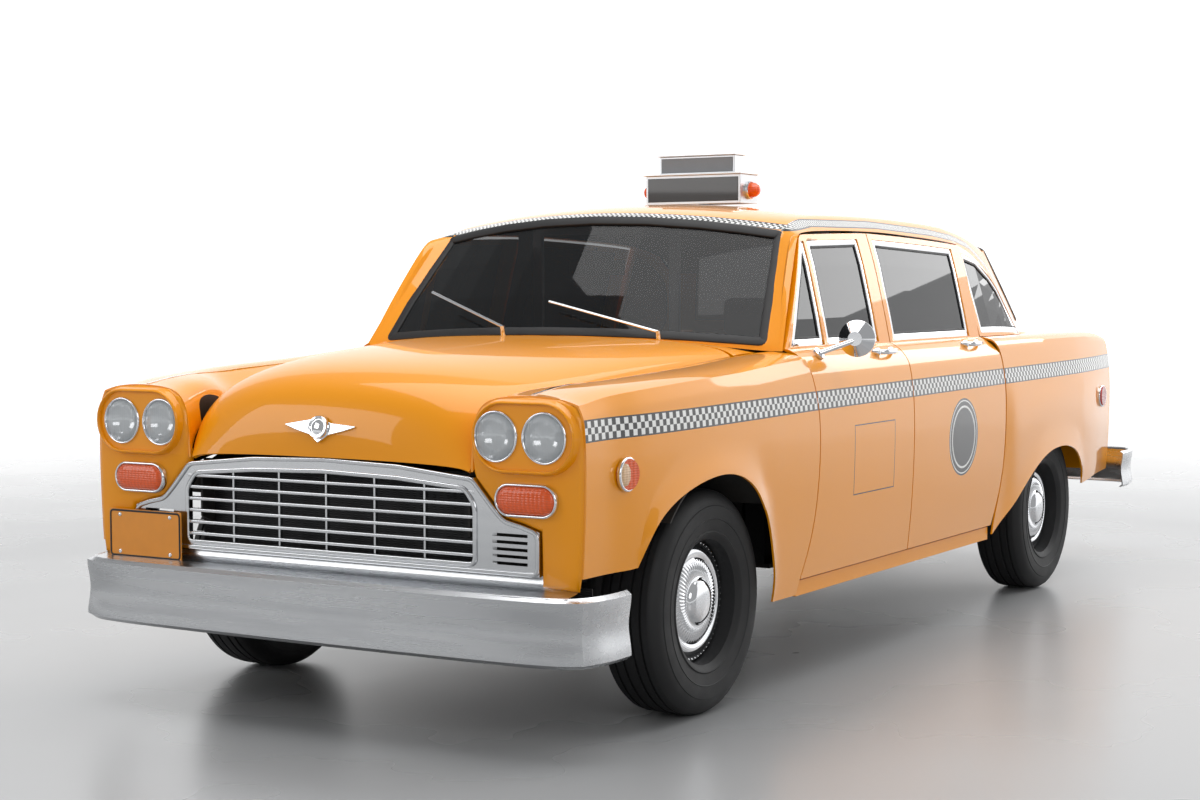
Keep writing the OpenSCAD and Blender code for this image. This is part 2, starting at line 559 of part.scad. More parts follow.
// --- Structure ----------------------------------------------------------------------------
tow_eye_r = 15;
jack_x = [fa - 700, ra + 900];       // pads for a jack, under the frame rails
jack_pad_h = 4;
rail_w = 70;
rail_in = rail_y - rail_w / 2;       // cross members end on the rails' inner faces
rail_h = 90;
kick = 170; // how far the frame rises over the rear axle
module chassis_frame() {
    z0 = frame_top_z - rail_h;
    profile = [
        [fa + 690, z0 + 60], [fa + 690, frame_top_z + 60], [fa + 520, frame_top_z + 40],
        [fa + 380, frame_top_z], [ra + 450, frame_top_z], [ra + 220, frame_top_z + kick],
        [ra - 350, frame_top_z + kick], [ra - 560, frame_top_z + 55], [ra - 1080, frame_top_z + 55],
        [ra - 1080, z0 + 55], [ra - 560, z0 + 55], [ra - 370, z0 + kick],
        [ra + 180, z0 + kick], [ra + 410, z0], [fa + 400, z0]
    ];
    color(black) {
        both_sides() plate_xz(rail_y - rail_w / 2, rail_y + rail_w / 2) polygon(profile);
        both_sides() for (x = jack_x) block([x - 45, x + 45], [rail_y - 30, rail_y + 30], [z0 - jack_pad_h, z0 + 2]);
        // Outriggers under the sills
        both_sides() for (x = [fa - 900, -60, ra + 700])
            block([x - 30, x + 30], [rail_y, cabin_half], [frame_top_z - 40, frame_top_z]);
        // Bumper irons, the front ones with a towing eye
        both_sides() difference() {
            block([fa + 690, fa + 815], [rail_y - 20, rail_y + 20], [z0 + 70, frame_top_z + 40]);
            translate([fa + 750, rail_y, z0 + 60]) cylinder(r = tow_eye_r, h = 90);
        }
        both_sides() block([ra - 1248, ra - 1080], [rail_y - 20, rail_y + 20], [z0 + 62, frame_top_z + 48]);
        // Hangers of the rear springs
        both_sides() for (x = [ra - 560, ra + 590])
            block([x, x + 30], [rail_y, spring_y + 25], [spring_top_z + seat_gap, frame_top_z - 10]);
    }
}
floor_z = frame_top_z + floor_t;
wheelhouse_y = 634;
cabin_half = 872; // inside half width at the floor
// Outline of the hollow under the tunnel, and the tunnel's own outline over it
tunnel_in = [[-140, frame_top_z - 1], [-88, frame_top_z + 114], [88, frame_top_z + 114], [140, frame_top_z - 1]];
tunnel_out = [[-164, frame_top_z], [-100, frame_top_z + 128], [100, frame_top_z + 128], [164, frame_top_z]];
pan_half = wheelhouse_y - seat_gap;
seat_pan_z = frame_top_z + kick + 16;
lid_foot = inset(lid_grid, hood_t)[1][3];
module cross_members() {
    z0 = frame_top_z - rail_h;
    color(black) {
        block([fa + 610, fa + 670], [-rail_in, rail_in], [z0 + 70, frame_top_z + 40]);
        block([fa - 60, fa + 60], [-rail_in, rail_in], [z0, z0 + 60]);
        for (x = [fa - 560, -60, ra + 640]) block([x - 40, x + 40], [-rail_in, rail_in], [z0, z0 + 50]);
        block([ra - 900, ra - 840], [-rail_in, rail_in], [z0 + 62, frame_top_z + 48]);
        // Engine mounts
        both_sides() block([fa - 30, fa + 30], [190, 240], [z0 + 50, 430 - seat_gap]);
    }
}
module floor_pan() {
    color(black) {
        difference() {
            plate_yz(ra + 480, fa - 590) difference() {
                union() {
                    translate([-cabin_half, frame_top_z]) square([2 * cabin_half, floor_t]);
                    polygon(tunnel_out);
                }
                polygon(tunnel_in);
            }
            // Room for the front corners of the open front doors
            both_sides() block([fa - 815, fa], [cabin_half - 62, cabin_half + 1], [0, floor_z + 1]);
        }
        // Riser in front of the rear seat, the pan under it and the trunk floor
        plate_yz(ra + 466, ra + 480) difference() {
            translate([-pan_half, frame_top_z]) square([2 * pan_half, seat_pan_z + floor_t - frame_top_z]);
            polygon(tunnel_in);
        }
        block([ra - 904.8, ra + 466], [-pan_half, pan_half], [seat_pan_z, seat_pan_z + floor_t]);
        // Bulkhead behind the rear seat
        block([ra + 20, ra + 34], [-pan_half, pan_half], [seat_pan_z + floor_t, belt_z - 60]);
        // Arms that carry the trunk lid
        both_sides() {
            block([lid_foot.x - 5, ra + 22], [lid_foot.y - 5, lid_foot.y + 5], [belt_z - 90, belt_z - 78]);
            translate([lid_foot.x, lid_foot.y, belt_z - 88]) cylinder(r = 4, h = lid_foot.z - 1.1 - belt_z + 88);
        }
    }
}
module firewall() {
    color(black) difference() {
        block([fa - 590, fa - 578], [-712, 712], [frame_top_z, belt_z - 40]);
        translate([fa - 600, 0, 0]) plate_yz(0, 40) polygon(tunnel_in);
    }
}
arch_in = 500;
// Where a liner of radius r round an axle at x0 meets the fender, above the height z0
function liner_y(x0, r, z0) =
    min([for (a = [40:5:140]) let (z = tyre_r + r * sin(a)) if (z > z0) side_y(x0 + r * cos(a), z)])
        - skin_t - 1.6;
module liner(x0, r, y0, z0) {
    plate_xz(y0, liner_y(x0, r, z0)) difference() {
        translate([x0, tyre_r]) circle(r = r, $fn = 96);
        translate([x0, tyre_r]) circle(r = r - 6, $fn = 96);
        translate([x0 - 500, -200]) square([1000, 200 + z0]);
    }
}
module inner_fenders() {
    hood_foot = inset(hood_grid, hood_t)[9][2];
    color(black) both_sides() {
        // Aprons beside the engine, forward to the grille
        plate_xz(arch_in, arch_in + 8) polygon([
            [fa - 578 + seat_gap, 560], [fa - 578 + seat_gap, 1020], [fa + 200, 950], [fa + 560, 850],
            [fa + 600, 772], [grille_x - seat_gap, 772], [grille_x - seat_gap, 600], [fa + 560, 540],
            [fa + 300, 540], [fa + 150, 640], [fa - 150, 640], [fa - 330, 480], [fa - 420, 480]
        ]);
        // Supports of the radiator
        block([fa + 540, fa + 552], [radiator_half + seat_gap, arch_in + 4], [600, 830]);
        // Stops under the rear corners of the hood
        block([hood_foot.x - 5, hood_foot.x + 5], [arch_in, hood_foot.y + 4], [970, 980]);
        translate([hood_foot.x, hood_foot.y, 972]) cylinder(r = 4, h = hood_foot.z - 1.8 - 972);
        liner(fa, 412, arch_in + 8, 620);
        liner(ra, 398, 640, 600);
        plate_xz(634, 640) difference() {
            translate([ra, tyre_r]) circle(r = 398, $fn = 96);
            translate([ra - 500, -200]) square([1000, 720]);
        }
    }
}
post_in = 780;
strap_z = [560, 800]; // middle heights of the door hinges
// The end of a hinge strap that reaches the inside of a door at x
function strap_end(x, z) = side_y(x, z) - door_t - (z < 700 ? 1.6 : 1.1);
module cabin_posts() {
    y_low = half_width - door_t - 14;
    lining = house_depth(roof_t);
    a = mix(lining[7][5], lining[8][5], 0.5);
    b = mix(lining[7][6], lining[8][6], 0.5);
    top = function (u) [mix(a.y, b.y, u), mix(a.z, b.z, u) - 0.9];
    color(taxi_yellow) both_sides() {
        // Hinge posts behind the front fenders
        block([fa - 668, fa - 592], [post_in - 60, post_in + 10], [floor_z, belt_z - 48]);
        // Posts between the doors, up to the roof rail
        plate_yz(door_split_x - 34, door_split_x + 34) polygon([
            [y_low - 76, floor_z], [y_low - 34, floor_z], [y_low - 4, 700], [y_low - 4, 900],
            [y_low - 30, belt_z - 60], [820, belt_z + 4], [frame_top_y - 8, roof_z - 168],
            top(0.16), top(1), [frame_top_y - 62, roof_z - 152],
            [780, belt_z + 4], [y_low - 76, belt_z - 80]
        ]);
        // Hinge straps out to the doors, two for each
        for (z = strap_z) {
            x1 = door_edge_x - 68;
            block([x1 - 23, fa - 666], [post_in - 15, post_in + 9], [z - 15, z + 15]);
            block([x1 - 23, x1], [post_in - 15, strap_end(x1, z)], [z - 15, z + 15]);
            x2 = door_split_x - 74;
            block([x2 - 27, door_split_x - 32], [y_low - 63, y_low - 29], [z - 15, z + 15]);
            block([x2 - 27, x2], [y_low - 63, strap_end(x2, z)], [z - 15, z + 15]);
        }
    }
}
frame_top_y = 768 - frame_t;
module rocker_panels() {
    color(taxi_yellow) both_sides() plate_xz(half_width - 52, half_width - 38) polygon([
        [fa - 552, sill_z], [fa - 570, door_bottom_z - panel_gap], [ra + 752, door_bottom_z - panel_gap],
        [ra + 752, sill_z]
    ]);
    color(black) both_sides() block([ra + 752, fa - 570], [cabin_half + 0.5, half_width - 52],
        [frame_top_z - 60, door_bottom_z - panel_gap]);
}

// --- Front and rear fittings --------------------------------------------------------------
silver = [0.62, 0.63, 0.64];
// Plan of half a bumper from its wrapped end to the middle, and its section in height
function bumper_path(reach, half) = [
    [-reach, half - 6], [-reach + 110, half], [-70, half - 30], [-32, half - 95], [-14, half - 220],
    [-4, half * 0.45], [0, 0]
];
bumper_section = [[0, -16], [0.06, -2], [0.2, -3], [0.5, -15], [0.8, -3], [0.94, -2], [1, -16]];
module bumper(reach, half, z0, h) {
    path = bumper_path(reach, half);
    n = len(path);
    full = concat([for (p = path) [p.x, -p.y]], [for (k = [n - 2:-1:0]) path[k]]);
    m = len(full) - 1;
    out = [for (k = [0:m]) let (d = full[min(k + 1, m)] - full[max(k - 1, 0)]) unit([d.y, -d.x])];
    g = [for (k = [0:m]) [for (s = bumper_section)
        [full[k].x + out[k].x * s[1], full[k].y + out[k].y * s[1], z0 + h * s[0]]]];
    skin(g, inset(g, 5));
}
front_bumper_z = 262;
rear_bumper_z = 352;
module front_bumper() {
    color(silver) translate([fa + front_overhang, 0, 0])
        bumper(290, half_width - 3, front_bumper_z, bumper_h);
}
module rear_bumper() {
    color(silver) translate([ra - rear_overhang, 0, 0]) rotate([0, 0, 180])
        bumper(300, half_width - 13, rear_bumper_z, bumper_h - 26);
}
grille_x = nose_x - 22;
module grille() {
    outline = [
        [0, 500], [757, 500], [757, 625], [700, 642], [640, 655], [600, 696], [560, 740], [535, 768],
        [270, 794], [0, 802]
    ];
    hole = [[0, 522], [541, 522], [541, 690], [505, 738], [270, 756], [0, 763]];
    color(silver) {
        both_sides() plate_yz(grille_x, grille_x + 22) difference() {
            polygon(outline);
            polygon(hole);
            for (k = [0:4]) translate([600, 528 + 20 * k]) square([118, 9]);
        }
        for (k = [0:5]) block([grille_x + 2, grille_x + 20], [-541.5, 541.5], [545 + 36 * k, 551 + 36 * k]);
        for (k = [-2:2]) block([grille_x + 4, grille_x + 16], [180 * k - 3, 180 * k + 3], [522, 755]);
    }
}
module oval(w, h) {
    translate([-(w - h) / 2, 0]) circle(d = h);
    translate([(w - h) / 2, 0]) circle(d = h);
    square([w - h, h], center = true);
}
lamp_y = [628, 790];
pod_y = 722;
module headlamp_pods() {
    color(taxi_yellow) both_sides() {
        // Face of the fender round the lamps
        plate_yz(nose_x - 12, nose_x - 1) difference() {
            polygon([
                [547, 775], [560, 750], [605, 705], [650, 666], [700, 652], [765, 634], [845, 600],
                [884, 700], [892, 860], [884, 915], [855, 962], [800, 988], [722, 999.5], [628, 985],
                [578, 957], [556, 928], [549, 885]
            ]);
            for (y = lamp_y) translate([y, lamp_z]) circle(r = lamp_r + 4);
        }
        plate_yz(nose_x - 1, nose_x + 34) translate([pod_y, lamp_z]) difference() {
            oval(344, 204);
            for (y = lamp_y) translate([y - pod_y, 0]) circle(r = lamp_r + 4);
        }
    }
}
module headlamps() {
    color([0.9, 0.93, 0.95]) both_sides() for (y = lamp_y)
        translate([nose_x - 10, y, lamp_z]) rotate([0, 90, 0]) {
            cylinder(r = lamp_r + 3.5, h = 22);
            translate([0, 0, 22]) cylinder(r1 = lamp_r + 3.5, r2 = lamp_r - 22, h = 14);
        }
}
module signal_lamps() {
    color(amber) both_sides() {
        plate_yz(nose_x - 0.5, nose_x + 18) translate([724, 714]) oval(190, 78);
        translate([fa + 528, side_y(fa + 528, 780) + 0.8, 780]) rotate([-90, 0, -10.5]) cylinder(r = 44, h = 12);
    }
}
module tail_lamps() {
    color(red) both_sides() {
        for (z = [760, 880]) translate([tail_x - 10, 775, z]) rotate([0, -90, 0]) cylinder(r = 52, h = 24);
        translate([ra - 662, side_y(ra - 662, 797) + 1.1, 797]) rotate([-90, 0, 5]) cylinder(r = 44, h = 12);
    }
}
plate_l = 300;
plate_h = 152;
module licence_plate(x, y0, z0) {
    block([x, x + 4], [y0, y0 + plate_l], [z0, z0 + plate_h]);
}
module front_plate() {
    color([0.95, 0.6, 0.1]) {
        licence_plate(nose_x + 20, -850, 459);
        block([nose_x + seat_gap, nose_x + 20], [-752, -728], [500, 600]);
    }
}
module rear_plate() {
    color([0.95, 0.6, 0.1]) licence_plate(ra - 944.6, -plate_l / 2, 700);
}
sign_x = 125;
module roof_sign() {
    z0 = roof_z + 6;
    color(silver) {
        block([sign_x - 60, sign_x + 60], [-20, 20], [roof_z + seat_gap, z0]);
        block([sign_x - 75, sign_x + 75], [-sign_w / 2, sign_w / 2], [z0, z0 + sign_h]);
        block([sign_x - 84, sign_x + 84], [-sign_w / 2 - 8, sign_w / 2 + 8], [z0 + sign_h, z0 + sign_h + 5]);
        block([sign_x - 40, sign_x + 40], [-165, 165], [z0 + sign_h + 5, z0 + sign_h + 75]);
        block([sign_x - 48, sign_x + 48], [-172, 172], [z0 + sign_h + 75, z0 + sign_h + 80]);
    }
    color(amber) both_sides() translate([sign_x, sign_w / 2, z0 + 52]) rotate([-90, 0, 0]) {
        cylinder(r = 33, h = 12);
        translate([0, 0, 12]) cylinder(r = 26, h = 18);
        translate([0, 0, 30]) sphere(r = 26);
    }
}
module door_mirror() {
    x = fa - 845;
    base_y = door_y(fa - 760, belt_z - 18) + 3;
    color(bright) {
        translate([fa - 760, base_y, belt_z - 18]) rotate([-50, 0, 0]) cylinder(r = 22, h = 8);
        rod([fa - 760, base_y + 4, belt_z - 14], [x, half_width + 38, belt_z + 28], 9);
        translate([x + 10, half_width + 42, belt_z + 33]) rotate([0, -90, 12]) {
            cylinder(r1 = 24, r2 = 62, h = 34);
            translate([0, 0, 34]) cylinder(r = 62, h = 6);
        }
    }
}
module wipers() {
    color(bright) {
        rod([fa - 505, 440, belt_z + 33], [fa - 500, 440, belt_z + 62], 9);
        rod([fa - 503, 440, belt_z + 58], [fa - 560, -30, belt_z + 158], 5);
        rod([fa - 480, -170, belt_z + 39.4], [fa - 474, -170, belt_z + 74], 9);
        rod([fa - 477, -170, belt_z + 70], [fa - 600, -560, belt_z + 190], 5);
    }
}

// --- Cabin --------------------------------------------------------------------------------
module dashboard() {
    color(black) {
        plate_xz(-712, 712) polygon([
            [fa - 590 - seat_gap, 720], [fa - 590 - seat_gap, belt_z - 46], [fa - 640, belt_z + 2], [fa - 820, belt_z + 4],
            [fa - 862, belt_z - 25], [fa - 850, belt_z - 150], [fa - 800, 760]
        ]);
        rod(steer_pos - 230 * column_way, steer_pos - (hub_depth + seat_gap) * column_way, 26);
    }
}
steer_pos = [fa - 985, 380, 910];
steer_tilt = 30; // how far the column lies below level
column_way = [-cos(steer_tilt), 0, sin(steer_tilt)];
hub_depth = 40;
module steering_wheel() {
    color(black) translate(steer_pos) rotate([0, -90 + steer_tilt, 0]) {
        rotate_extrude($fn = 64) translate([steering_r, 0]) circle(r = 12, $fn = 24);
        translate([0, 0, -hub_depth]) cylinder(r = 34, h = hub_depth + 4);
        for (a = [0, 180]) rotate([0, 0, a + 90]) translate([0, -12, -18]) cube([steering_r, 24, 12]);
    }
}
module bench(x0, base_z, w, back_h) {
    plate_xz(-w, w) polygon([
        [x0, base_z], [x0 + 18, base_z - 50], [x0 + 430, base_z - 50], [x0 + 490, base_z + 60],
        [x0 + 475, base_z + 120], [x0 + 400, base_z + 140], [x0 + 80, base_z + 112],
        [x0 + 10, base_z + back_h - 30], [x0 - 20, base_z + back_h], [x0 - 70, base_z + back_h - 6],
        [x0 - 100, base_z + back_h - 50], [x0 - 40, base_z]
    ]);
}
module front_seat() {
    color(black) {
        bench(480, 560, 700, 560);
        both_sides() block([520, 900], [500, 540], [floor_z, 510]);
    }
}
module rear_seat() {
    color(black) bench(ra + 200, seat_pan_z + floor_t + 50.5, 620, 455);
}
module partition() {
    color([0.5, 0.52, 0.54]) {
        block([330, 350], [-640, 640], [floor_z + 120, 760]);
        both_sides() block([330, 350], [600, 640], [floor_z, roof_z - 84]);
        block([330, 350], [-600, 600], [1090, 1115]);
        block([330, 350], [-600, 600], [roof_z - 109, roof_z - 84]);
        block([330, 350], [-20, 20], [760, roof_z - 109]);
    }
}

// --- Engine and running gear --------------------------------------------------------------
shaft_z = frame_top_z + 82; // middle of the gearbox
module engine() {
    color([0.3, 0.32, 0.35]) {
        block([fa - 420, fa + 330], [-250, 250], [430, 930]);
        rod([fa - 420, 0, shaft_z], [fa - 545, 0, shaft_z], 80);
    }
}
radiator_half = 330;
module radiator() {
    color(black) block([fa + 520, fa + 572], [-radiator_half, radiator_half], [470, 960]);
}
module fuel_tank() {
    color(black) block([ra - 840 + seat_gap, ra - 440], [-360, 360], [frame_top_z - 90, frame_top_z + 60]);
}
exhaust_z = 216;
module exhaust() {
    color([0.35, 0.34, 0.33]) {
        rod([fa - 400, -300, exhaust_z], [ra + 900, -300, exhaust_z], 24);
        rod([ra + 900, -300, exhaust_z], [ra + 560, -300, exhaust_z], 58);
        // Hangers up to the frame's cross members
        for (x = [fa - 560, -60, ra + 640])
            block([x - 12, x + 12], [-308, -292], [exhaust_z, frame_top_z - rail_h - seat_gap]);
    }
}
hub_y = front_track / 2;
king_y = hub_y - 76;
low_ball_z = 232;
high_ball_z = 460;
module front_suspension() {
    color(black) both_sides() {
        // Lower and upper arms, each from the frame to its ball joint
        for (x = [-110, 110]) rod([fa + x, rail_y + 20, 258], [fa, king_y - 4, low_ball_z - 24], 13);
        for (x = [-80, 80]) rod([fa + x, rail_y + 20, 484], [fa, king_y - 4, high_ball_z + 18], 10);
        translate([fa, king_y, low_ball_z - 30]) cylinder(r = 22, h = 30 - seat_gap);
        translate([fa, king_y, high_ball_z + seat_gap]) cylinder(r = 18, h = 30);
        // Bracket that carries the lower arms under the frame rail
        block([fa - 130, fa + 130], [rail_y - 20, rail_y + 35], [242, frame_top_z - rail_h - seat_gap]);
        block([fa - 100, fa + 100], [rail_y - 30, rail_y + 30], [frame_top_z, 500]);
        translate([fa, rail_y + 100, 240]) cylinder(r = 55, h = 250);
    }
}
module knuckle() {
    color([0.3, 0.3, 0.32]) {
        block([fa - 30, fa + 30], [king_y - 18, king_y + 18], [low_ball_z, high_ball_z]);
        translate([fa, king_y + 10, tyre_r]) rotate([-90, 0, 0]) cylinder(r = spindle_r, h = 118);
        block([fa - 150, fa - 30], [king_y - 12, king_y + 12], [tyre_r - 90, tyre_r - 66]);
    }
}
module knuckle_left() { knuckle(); }
module knuckle_right() { mirror([0, 1, 0]) knuckle(); }
rear_hub_y = rear_track / 2;
spring_y = rear_hub_y - 240;
spring_top_z = tyre_r - 48;
module rear_axle() {
    color(black) {
        rod([ra, -rear_hub_y + 80, tyre_r], [ra, rear_hub_y - 80, tyre_r], 38);
        translate([ra, 0, tyre_r]) scale([1, 1, 1]) sphere(r = 125);
        both_sides() translate([ra, rear_hub_y - 80, tyre_r]) rotate([-90, 0, 0]) cylinder(r = spindle_r, h = 130);
        // Driveshaft
        rod([ra + 110, 0, tyre_r + 10], [fa - 548, 0, shaft_z], 32);
        // Leaf springs
        both_sides() {
            block([ra - 560, ra + 620], [spring_y - 30, spring_y + 30], [spring_top_z - 30, spring_top_z]);
            block([ra - 60, ra + 60], [spring_y - 35, spring_y + 35], [spring_top_z, tyre_r - 20]);
        }
    }
}

// --- Wheels -------------------------------------------------------------------------------
bore_gap = 0.05;
seat_r = rim_r;
tyre_half = tyre_w / 2;
function arc(c, rx, ry, a, b, n) =
    [for (k = [0:n]) let (t = mix(a, b, k / n)) c + [rx * cos(t), ry * sin(t)]];
module tyre() {
    rotate([-90, 0, 0]) rotate_extrude($fn = 96) polygon(concat(
        [[seat_r, -tyre_half * 0.68]],
        arc([seat_r + 78, -tyre_half * 0.72], 78, tyre_half * 0.28, -150, -50, 4),
        [[tyre_r - 16, -tyre_half * 0.8], [tyre_r, -tyre_half * 0.64]],
        [[tyre_r, tyre_half * 0.64], [tyre_r - 16, tyre_half * 0.8]],
        arc([seat_r + 78, tyre_half * 0.72], 78, tyre_half * 0.28, 50, 150, 4),
        [[seat_r, tyre_half * 0.68]]
    ));
}
cover_y = 81;
module wheel_at(x, y, left) {
    translate([x, left ? y : -y, tyre_r]) rotate([0, 0, left ? 0 : 180]) children();
}
module front_wheel_left() { color(bright) wheel_at(fa, hub_y, true) rim(); }
module front_wheel_right() { color(bright) wheel_at(fa, hub_y, false) rim(); }
module rear_wheel_left() { color(bright) wheel_at(ra, rear_hub_y, true) rim(); }
module rear_wheel_right() { color(bright) wheel_at(ra, rear_hub_y, false) rim(); }
module front_tyre_left() { color(black) wheel_at(fa, hub_y, true) tyre(); }
module front_tyre_right() { color(black) wheel_at(fa, hub_y, false) tyre(); }
module rear_tyre_left() { color(black) wheel_at(ra, rear_hub_y, true) tyre(); }
module rear_tyre_right() { color(black) wheel_at(ra, rear_hub_y, false) tyre(); }
// Pressed steel rim with its hub and the domed cover over it
module rim() {
    w = tyre_half * 0.68;
    rotate([-90, 0, 0]) rotate_extrude($fn = 96) polygon([
        [spindle_r + bore_gap, -20], [spindle_r + bore_gap, 56], [0, 56], [0, cover_y], [58, cover_y - 4],
        [66, 66], [140, 62], [seat_r - 6, w + 8], [seat_r, w], [seat_r, -w], [seat_r - 6, -w],
        [seat_r - 6, w - 30], [150, w - 40], [60, 34], [48, -20]
    ]);
}

chassis_frame();
cross_members();
floor_pan();
firewall();
inner_fenders();
cabin_posts();
rocker_panels();
roof();
cowl();
rear_deck();
front_fenders();
rear_quarters();
tail_panel();
hood();
trunk_lid();
front_door_left();
front_door_right();
rear_door_left();
rear_door_right();
front_door_glass_left();
front_door_glass_right();
rear_door_glass_left();
rear_door_glass_right();
windshield();
rear_window();
quarter_glass();
grille();
front_bumper();
rear_bumper();
headlamp_pods();
headlamps();
signal_lamps();
tail_lamps();
front_plate();
rear_plate();
roof_sign();
door_mirror();
wipers();
dashboard();
steering_wheel();
front_seat();
rear_seat();
partition();
engine();
radiator();
fuel_tank();
exhaust();
front_suspension();
rear_axle();
knuckle_left();
knuckle_right();
front_wheel_left();
front_wheel_right();
rear_wheel_left();
rear_wheel_right();
front_tyre_left();
front_tyre_right();
rear_tyre_left();
rear_tyre_right();
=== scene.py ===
"""A full-size yellow taxi cab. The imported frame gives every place, and this script gives the looks."""

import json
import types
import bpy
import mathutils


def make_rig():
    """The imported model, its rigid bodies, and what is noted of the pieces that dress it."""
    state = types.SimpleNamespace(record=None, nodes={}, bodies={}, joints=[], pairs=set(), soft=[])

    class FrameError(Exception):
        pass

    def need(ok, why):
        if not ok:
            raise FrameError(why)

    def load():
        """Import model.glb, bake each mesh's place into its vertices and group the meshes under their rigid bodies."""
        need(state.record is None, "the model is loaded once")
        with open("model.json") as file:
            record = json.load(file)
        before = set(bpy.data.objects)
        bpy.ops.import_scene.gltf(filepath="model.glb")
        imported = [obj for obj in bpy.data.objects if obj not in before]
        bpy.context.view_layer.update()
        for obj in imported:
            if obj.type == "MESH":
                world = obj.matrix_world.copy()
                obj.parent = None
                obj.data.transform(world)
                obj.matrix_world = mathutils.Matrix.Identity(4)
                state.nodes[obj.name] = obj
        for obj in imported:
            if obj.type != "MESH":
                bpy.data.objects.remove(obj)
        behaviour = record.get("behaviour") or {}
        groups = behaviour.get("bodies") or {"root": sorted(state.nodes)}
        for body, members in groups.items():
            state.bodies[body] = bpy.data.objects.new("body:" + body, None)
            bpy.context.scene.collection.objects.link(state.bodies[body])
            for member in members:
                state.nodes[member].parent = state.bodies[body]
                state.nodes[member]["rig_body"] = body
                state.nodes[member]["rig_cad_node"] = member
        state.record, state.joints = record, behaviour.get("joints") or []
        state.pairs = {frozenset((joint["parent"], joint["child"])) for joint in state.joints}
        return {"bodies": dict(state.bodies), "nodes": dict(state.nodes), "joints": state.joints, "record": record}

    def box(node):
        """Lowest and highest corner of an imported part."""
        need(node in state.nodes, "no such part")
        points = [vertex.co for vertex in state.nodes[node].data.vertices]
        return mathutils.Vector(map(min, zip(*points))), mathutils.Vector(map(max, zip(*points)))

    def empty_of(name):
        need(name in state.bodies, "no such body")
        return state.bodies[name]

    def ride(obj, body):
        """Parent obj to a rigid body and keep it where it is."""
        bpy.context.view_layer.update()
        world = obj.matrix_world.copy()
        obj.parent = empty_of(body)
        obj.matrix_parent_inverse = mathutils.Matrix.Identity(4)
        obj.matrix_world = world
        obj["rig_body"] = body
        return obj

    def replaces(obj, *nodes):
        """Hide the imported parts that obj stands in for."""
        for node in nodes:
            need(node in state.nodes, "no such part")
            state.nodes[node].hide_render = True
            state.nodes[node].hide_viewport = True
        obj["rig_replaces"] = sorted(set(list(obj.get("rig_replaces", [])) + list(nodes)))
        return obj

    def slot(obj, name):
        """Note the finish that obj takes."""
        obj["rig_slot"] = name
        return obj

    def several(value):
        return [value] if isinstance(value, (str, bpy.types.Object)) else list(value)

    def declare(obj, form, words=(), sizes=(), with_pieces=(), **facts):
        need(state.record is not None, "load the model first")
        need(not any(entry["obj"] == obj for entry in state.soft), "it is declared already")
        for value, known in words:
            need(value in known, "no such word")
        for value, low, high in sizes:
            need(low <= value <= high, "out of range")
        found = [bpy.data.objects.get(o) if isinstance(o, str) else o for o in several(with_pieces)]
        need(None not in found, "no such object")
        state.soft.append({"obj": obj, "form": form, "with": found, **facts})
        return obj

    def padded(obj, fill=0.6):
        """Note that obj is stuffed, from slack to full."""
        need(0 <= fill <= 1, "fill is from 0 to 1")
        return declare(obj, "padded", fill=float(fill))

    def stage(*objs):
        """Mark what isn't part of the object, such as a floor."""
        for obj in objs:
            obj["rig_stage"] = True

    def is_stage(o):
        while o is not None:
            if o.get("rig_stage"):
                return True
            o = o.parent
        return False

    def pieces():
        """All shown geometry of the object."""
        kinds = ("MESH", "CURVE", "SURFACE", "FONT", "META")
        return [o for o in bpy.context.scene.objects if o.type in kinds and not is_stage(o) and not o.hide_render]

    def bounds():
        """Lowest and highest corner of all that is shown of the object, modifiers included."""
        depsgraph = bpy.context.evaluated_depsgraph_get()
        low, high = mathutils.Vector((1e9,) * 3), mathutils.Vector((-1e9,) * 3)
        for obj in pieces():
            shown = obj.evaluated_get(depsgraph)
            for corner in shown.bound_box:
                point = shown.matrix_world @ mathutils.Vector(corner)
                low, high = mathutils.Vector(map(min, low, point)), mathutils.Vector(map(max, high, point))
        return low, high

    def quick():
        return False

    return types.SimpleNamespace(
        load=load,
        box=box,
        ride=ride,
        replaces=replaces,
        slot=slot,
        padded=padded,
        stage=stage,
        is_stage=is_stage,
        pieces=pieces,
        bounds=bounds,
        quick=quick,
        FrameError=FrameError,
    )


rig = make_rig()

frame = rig.load()
import json
import math
import bmesh
import bpy
from mathutils import Matrix, Vector
from mathutils.bvhtree import BVHTree

cad_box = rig.bounds()
CAB = "cab_body"


def middle(node):
    low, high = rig.box(node)
    return (Vector(low) + Vector(high)) / 2


FRONT_AXLE = middle("front_tyre_left")
REAR_AXLE = middle("rear_tyre_left")
TYRE_RADIUS = FRONT_AXLE.z
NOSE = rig.box("front_fenders")[1][0]
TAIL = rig.box("rear_quarters")[0][0]


# --- Materials ------------------------------------------------------------------------------
class Socket:
    """A shader socket that Python arithmetic works on."""

    def __init__(self, finish, out):
        self.finish = finish
        self.out = out

    def math(self, operation, *others):
        inputs = dict(enumerate((self, *others)))
        node = self.finish.node("ShaderNodeMath", {"operation": operation}, inputs)
        return Socket(self.finish, node.outputs[0])

    def __add__(self, other):
        return self.math("ADD", other)

    def __sub__(self, other):
        return self.math("SUBTRACT", other)

    def __rsub__(self, other):
        return self * -1 + other

    def __mul__(self, other):
        return self.math("MULTIPLY", other)

    def __truediv__(self, other):
        return self.math("DIVIDE", other)

    def __gt__(self, other):
        return self.math("GREATER_THAN", other)

    def __lt__(self, other):
        return self.math("LESS_THAN", other)

    __radd__ = __add__
    __rmul__ = __mul__

    def between(self, low, high):
        return (self > low) * (self < high)


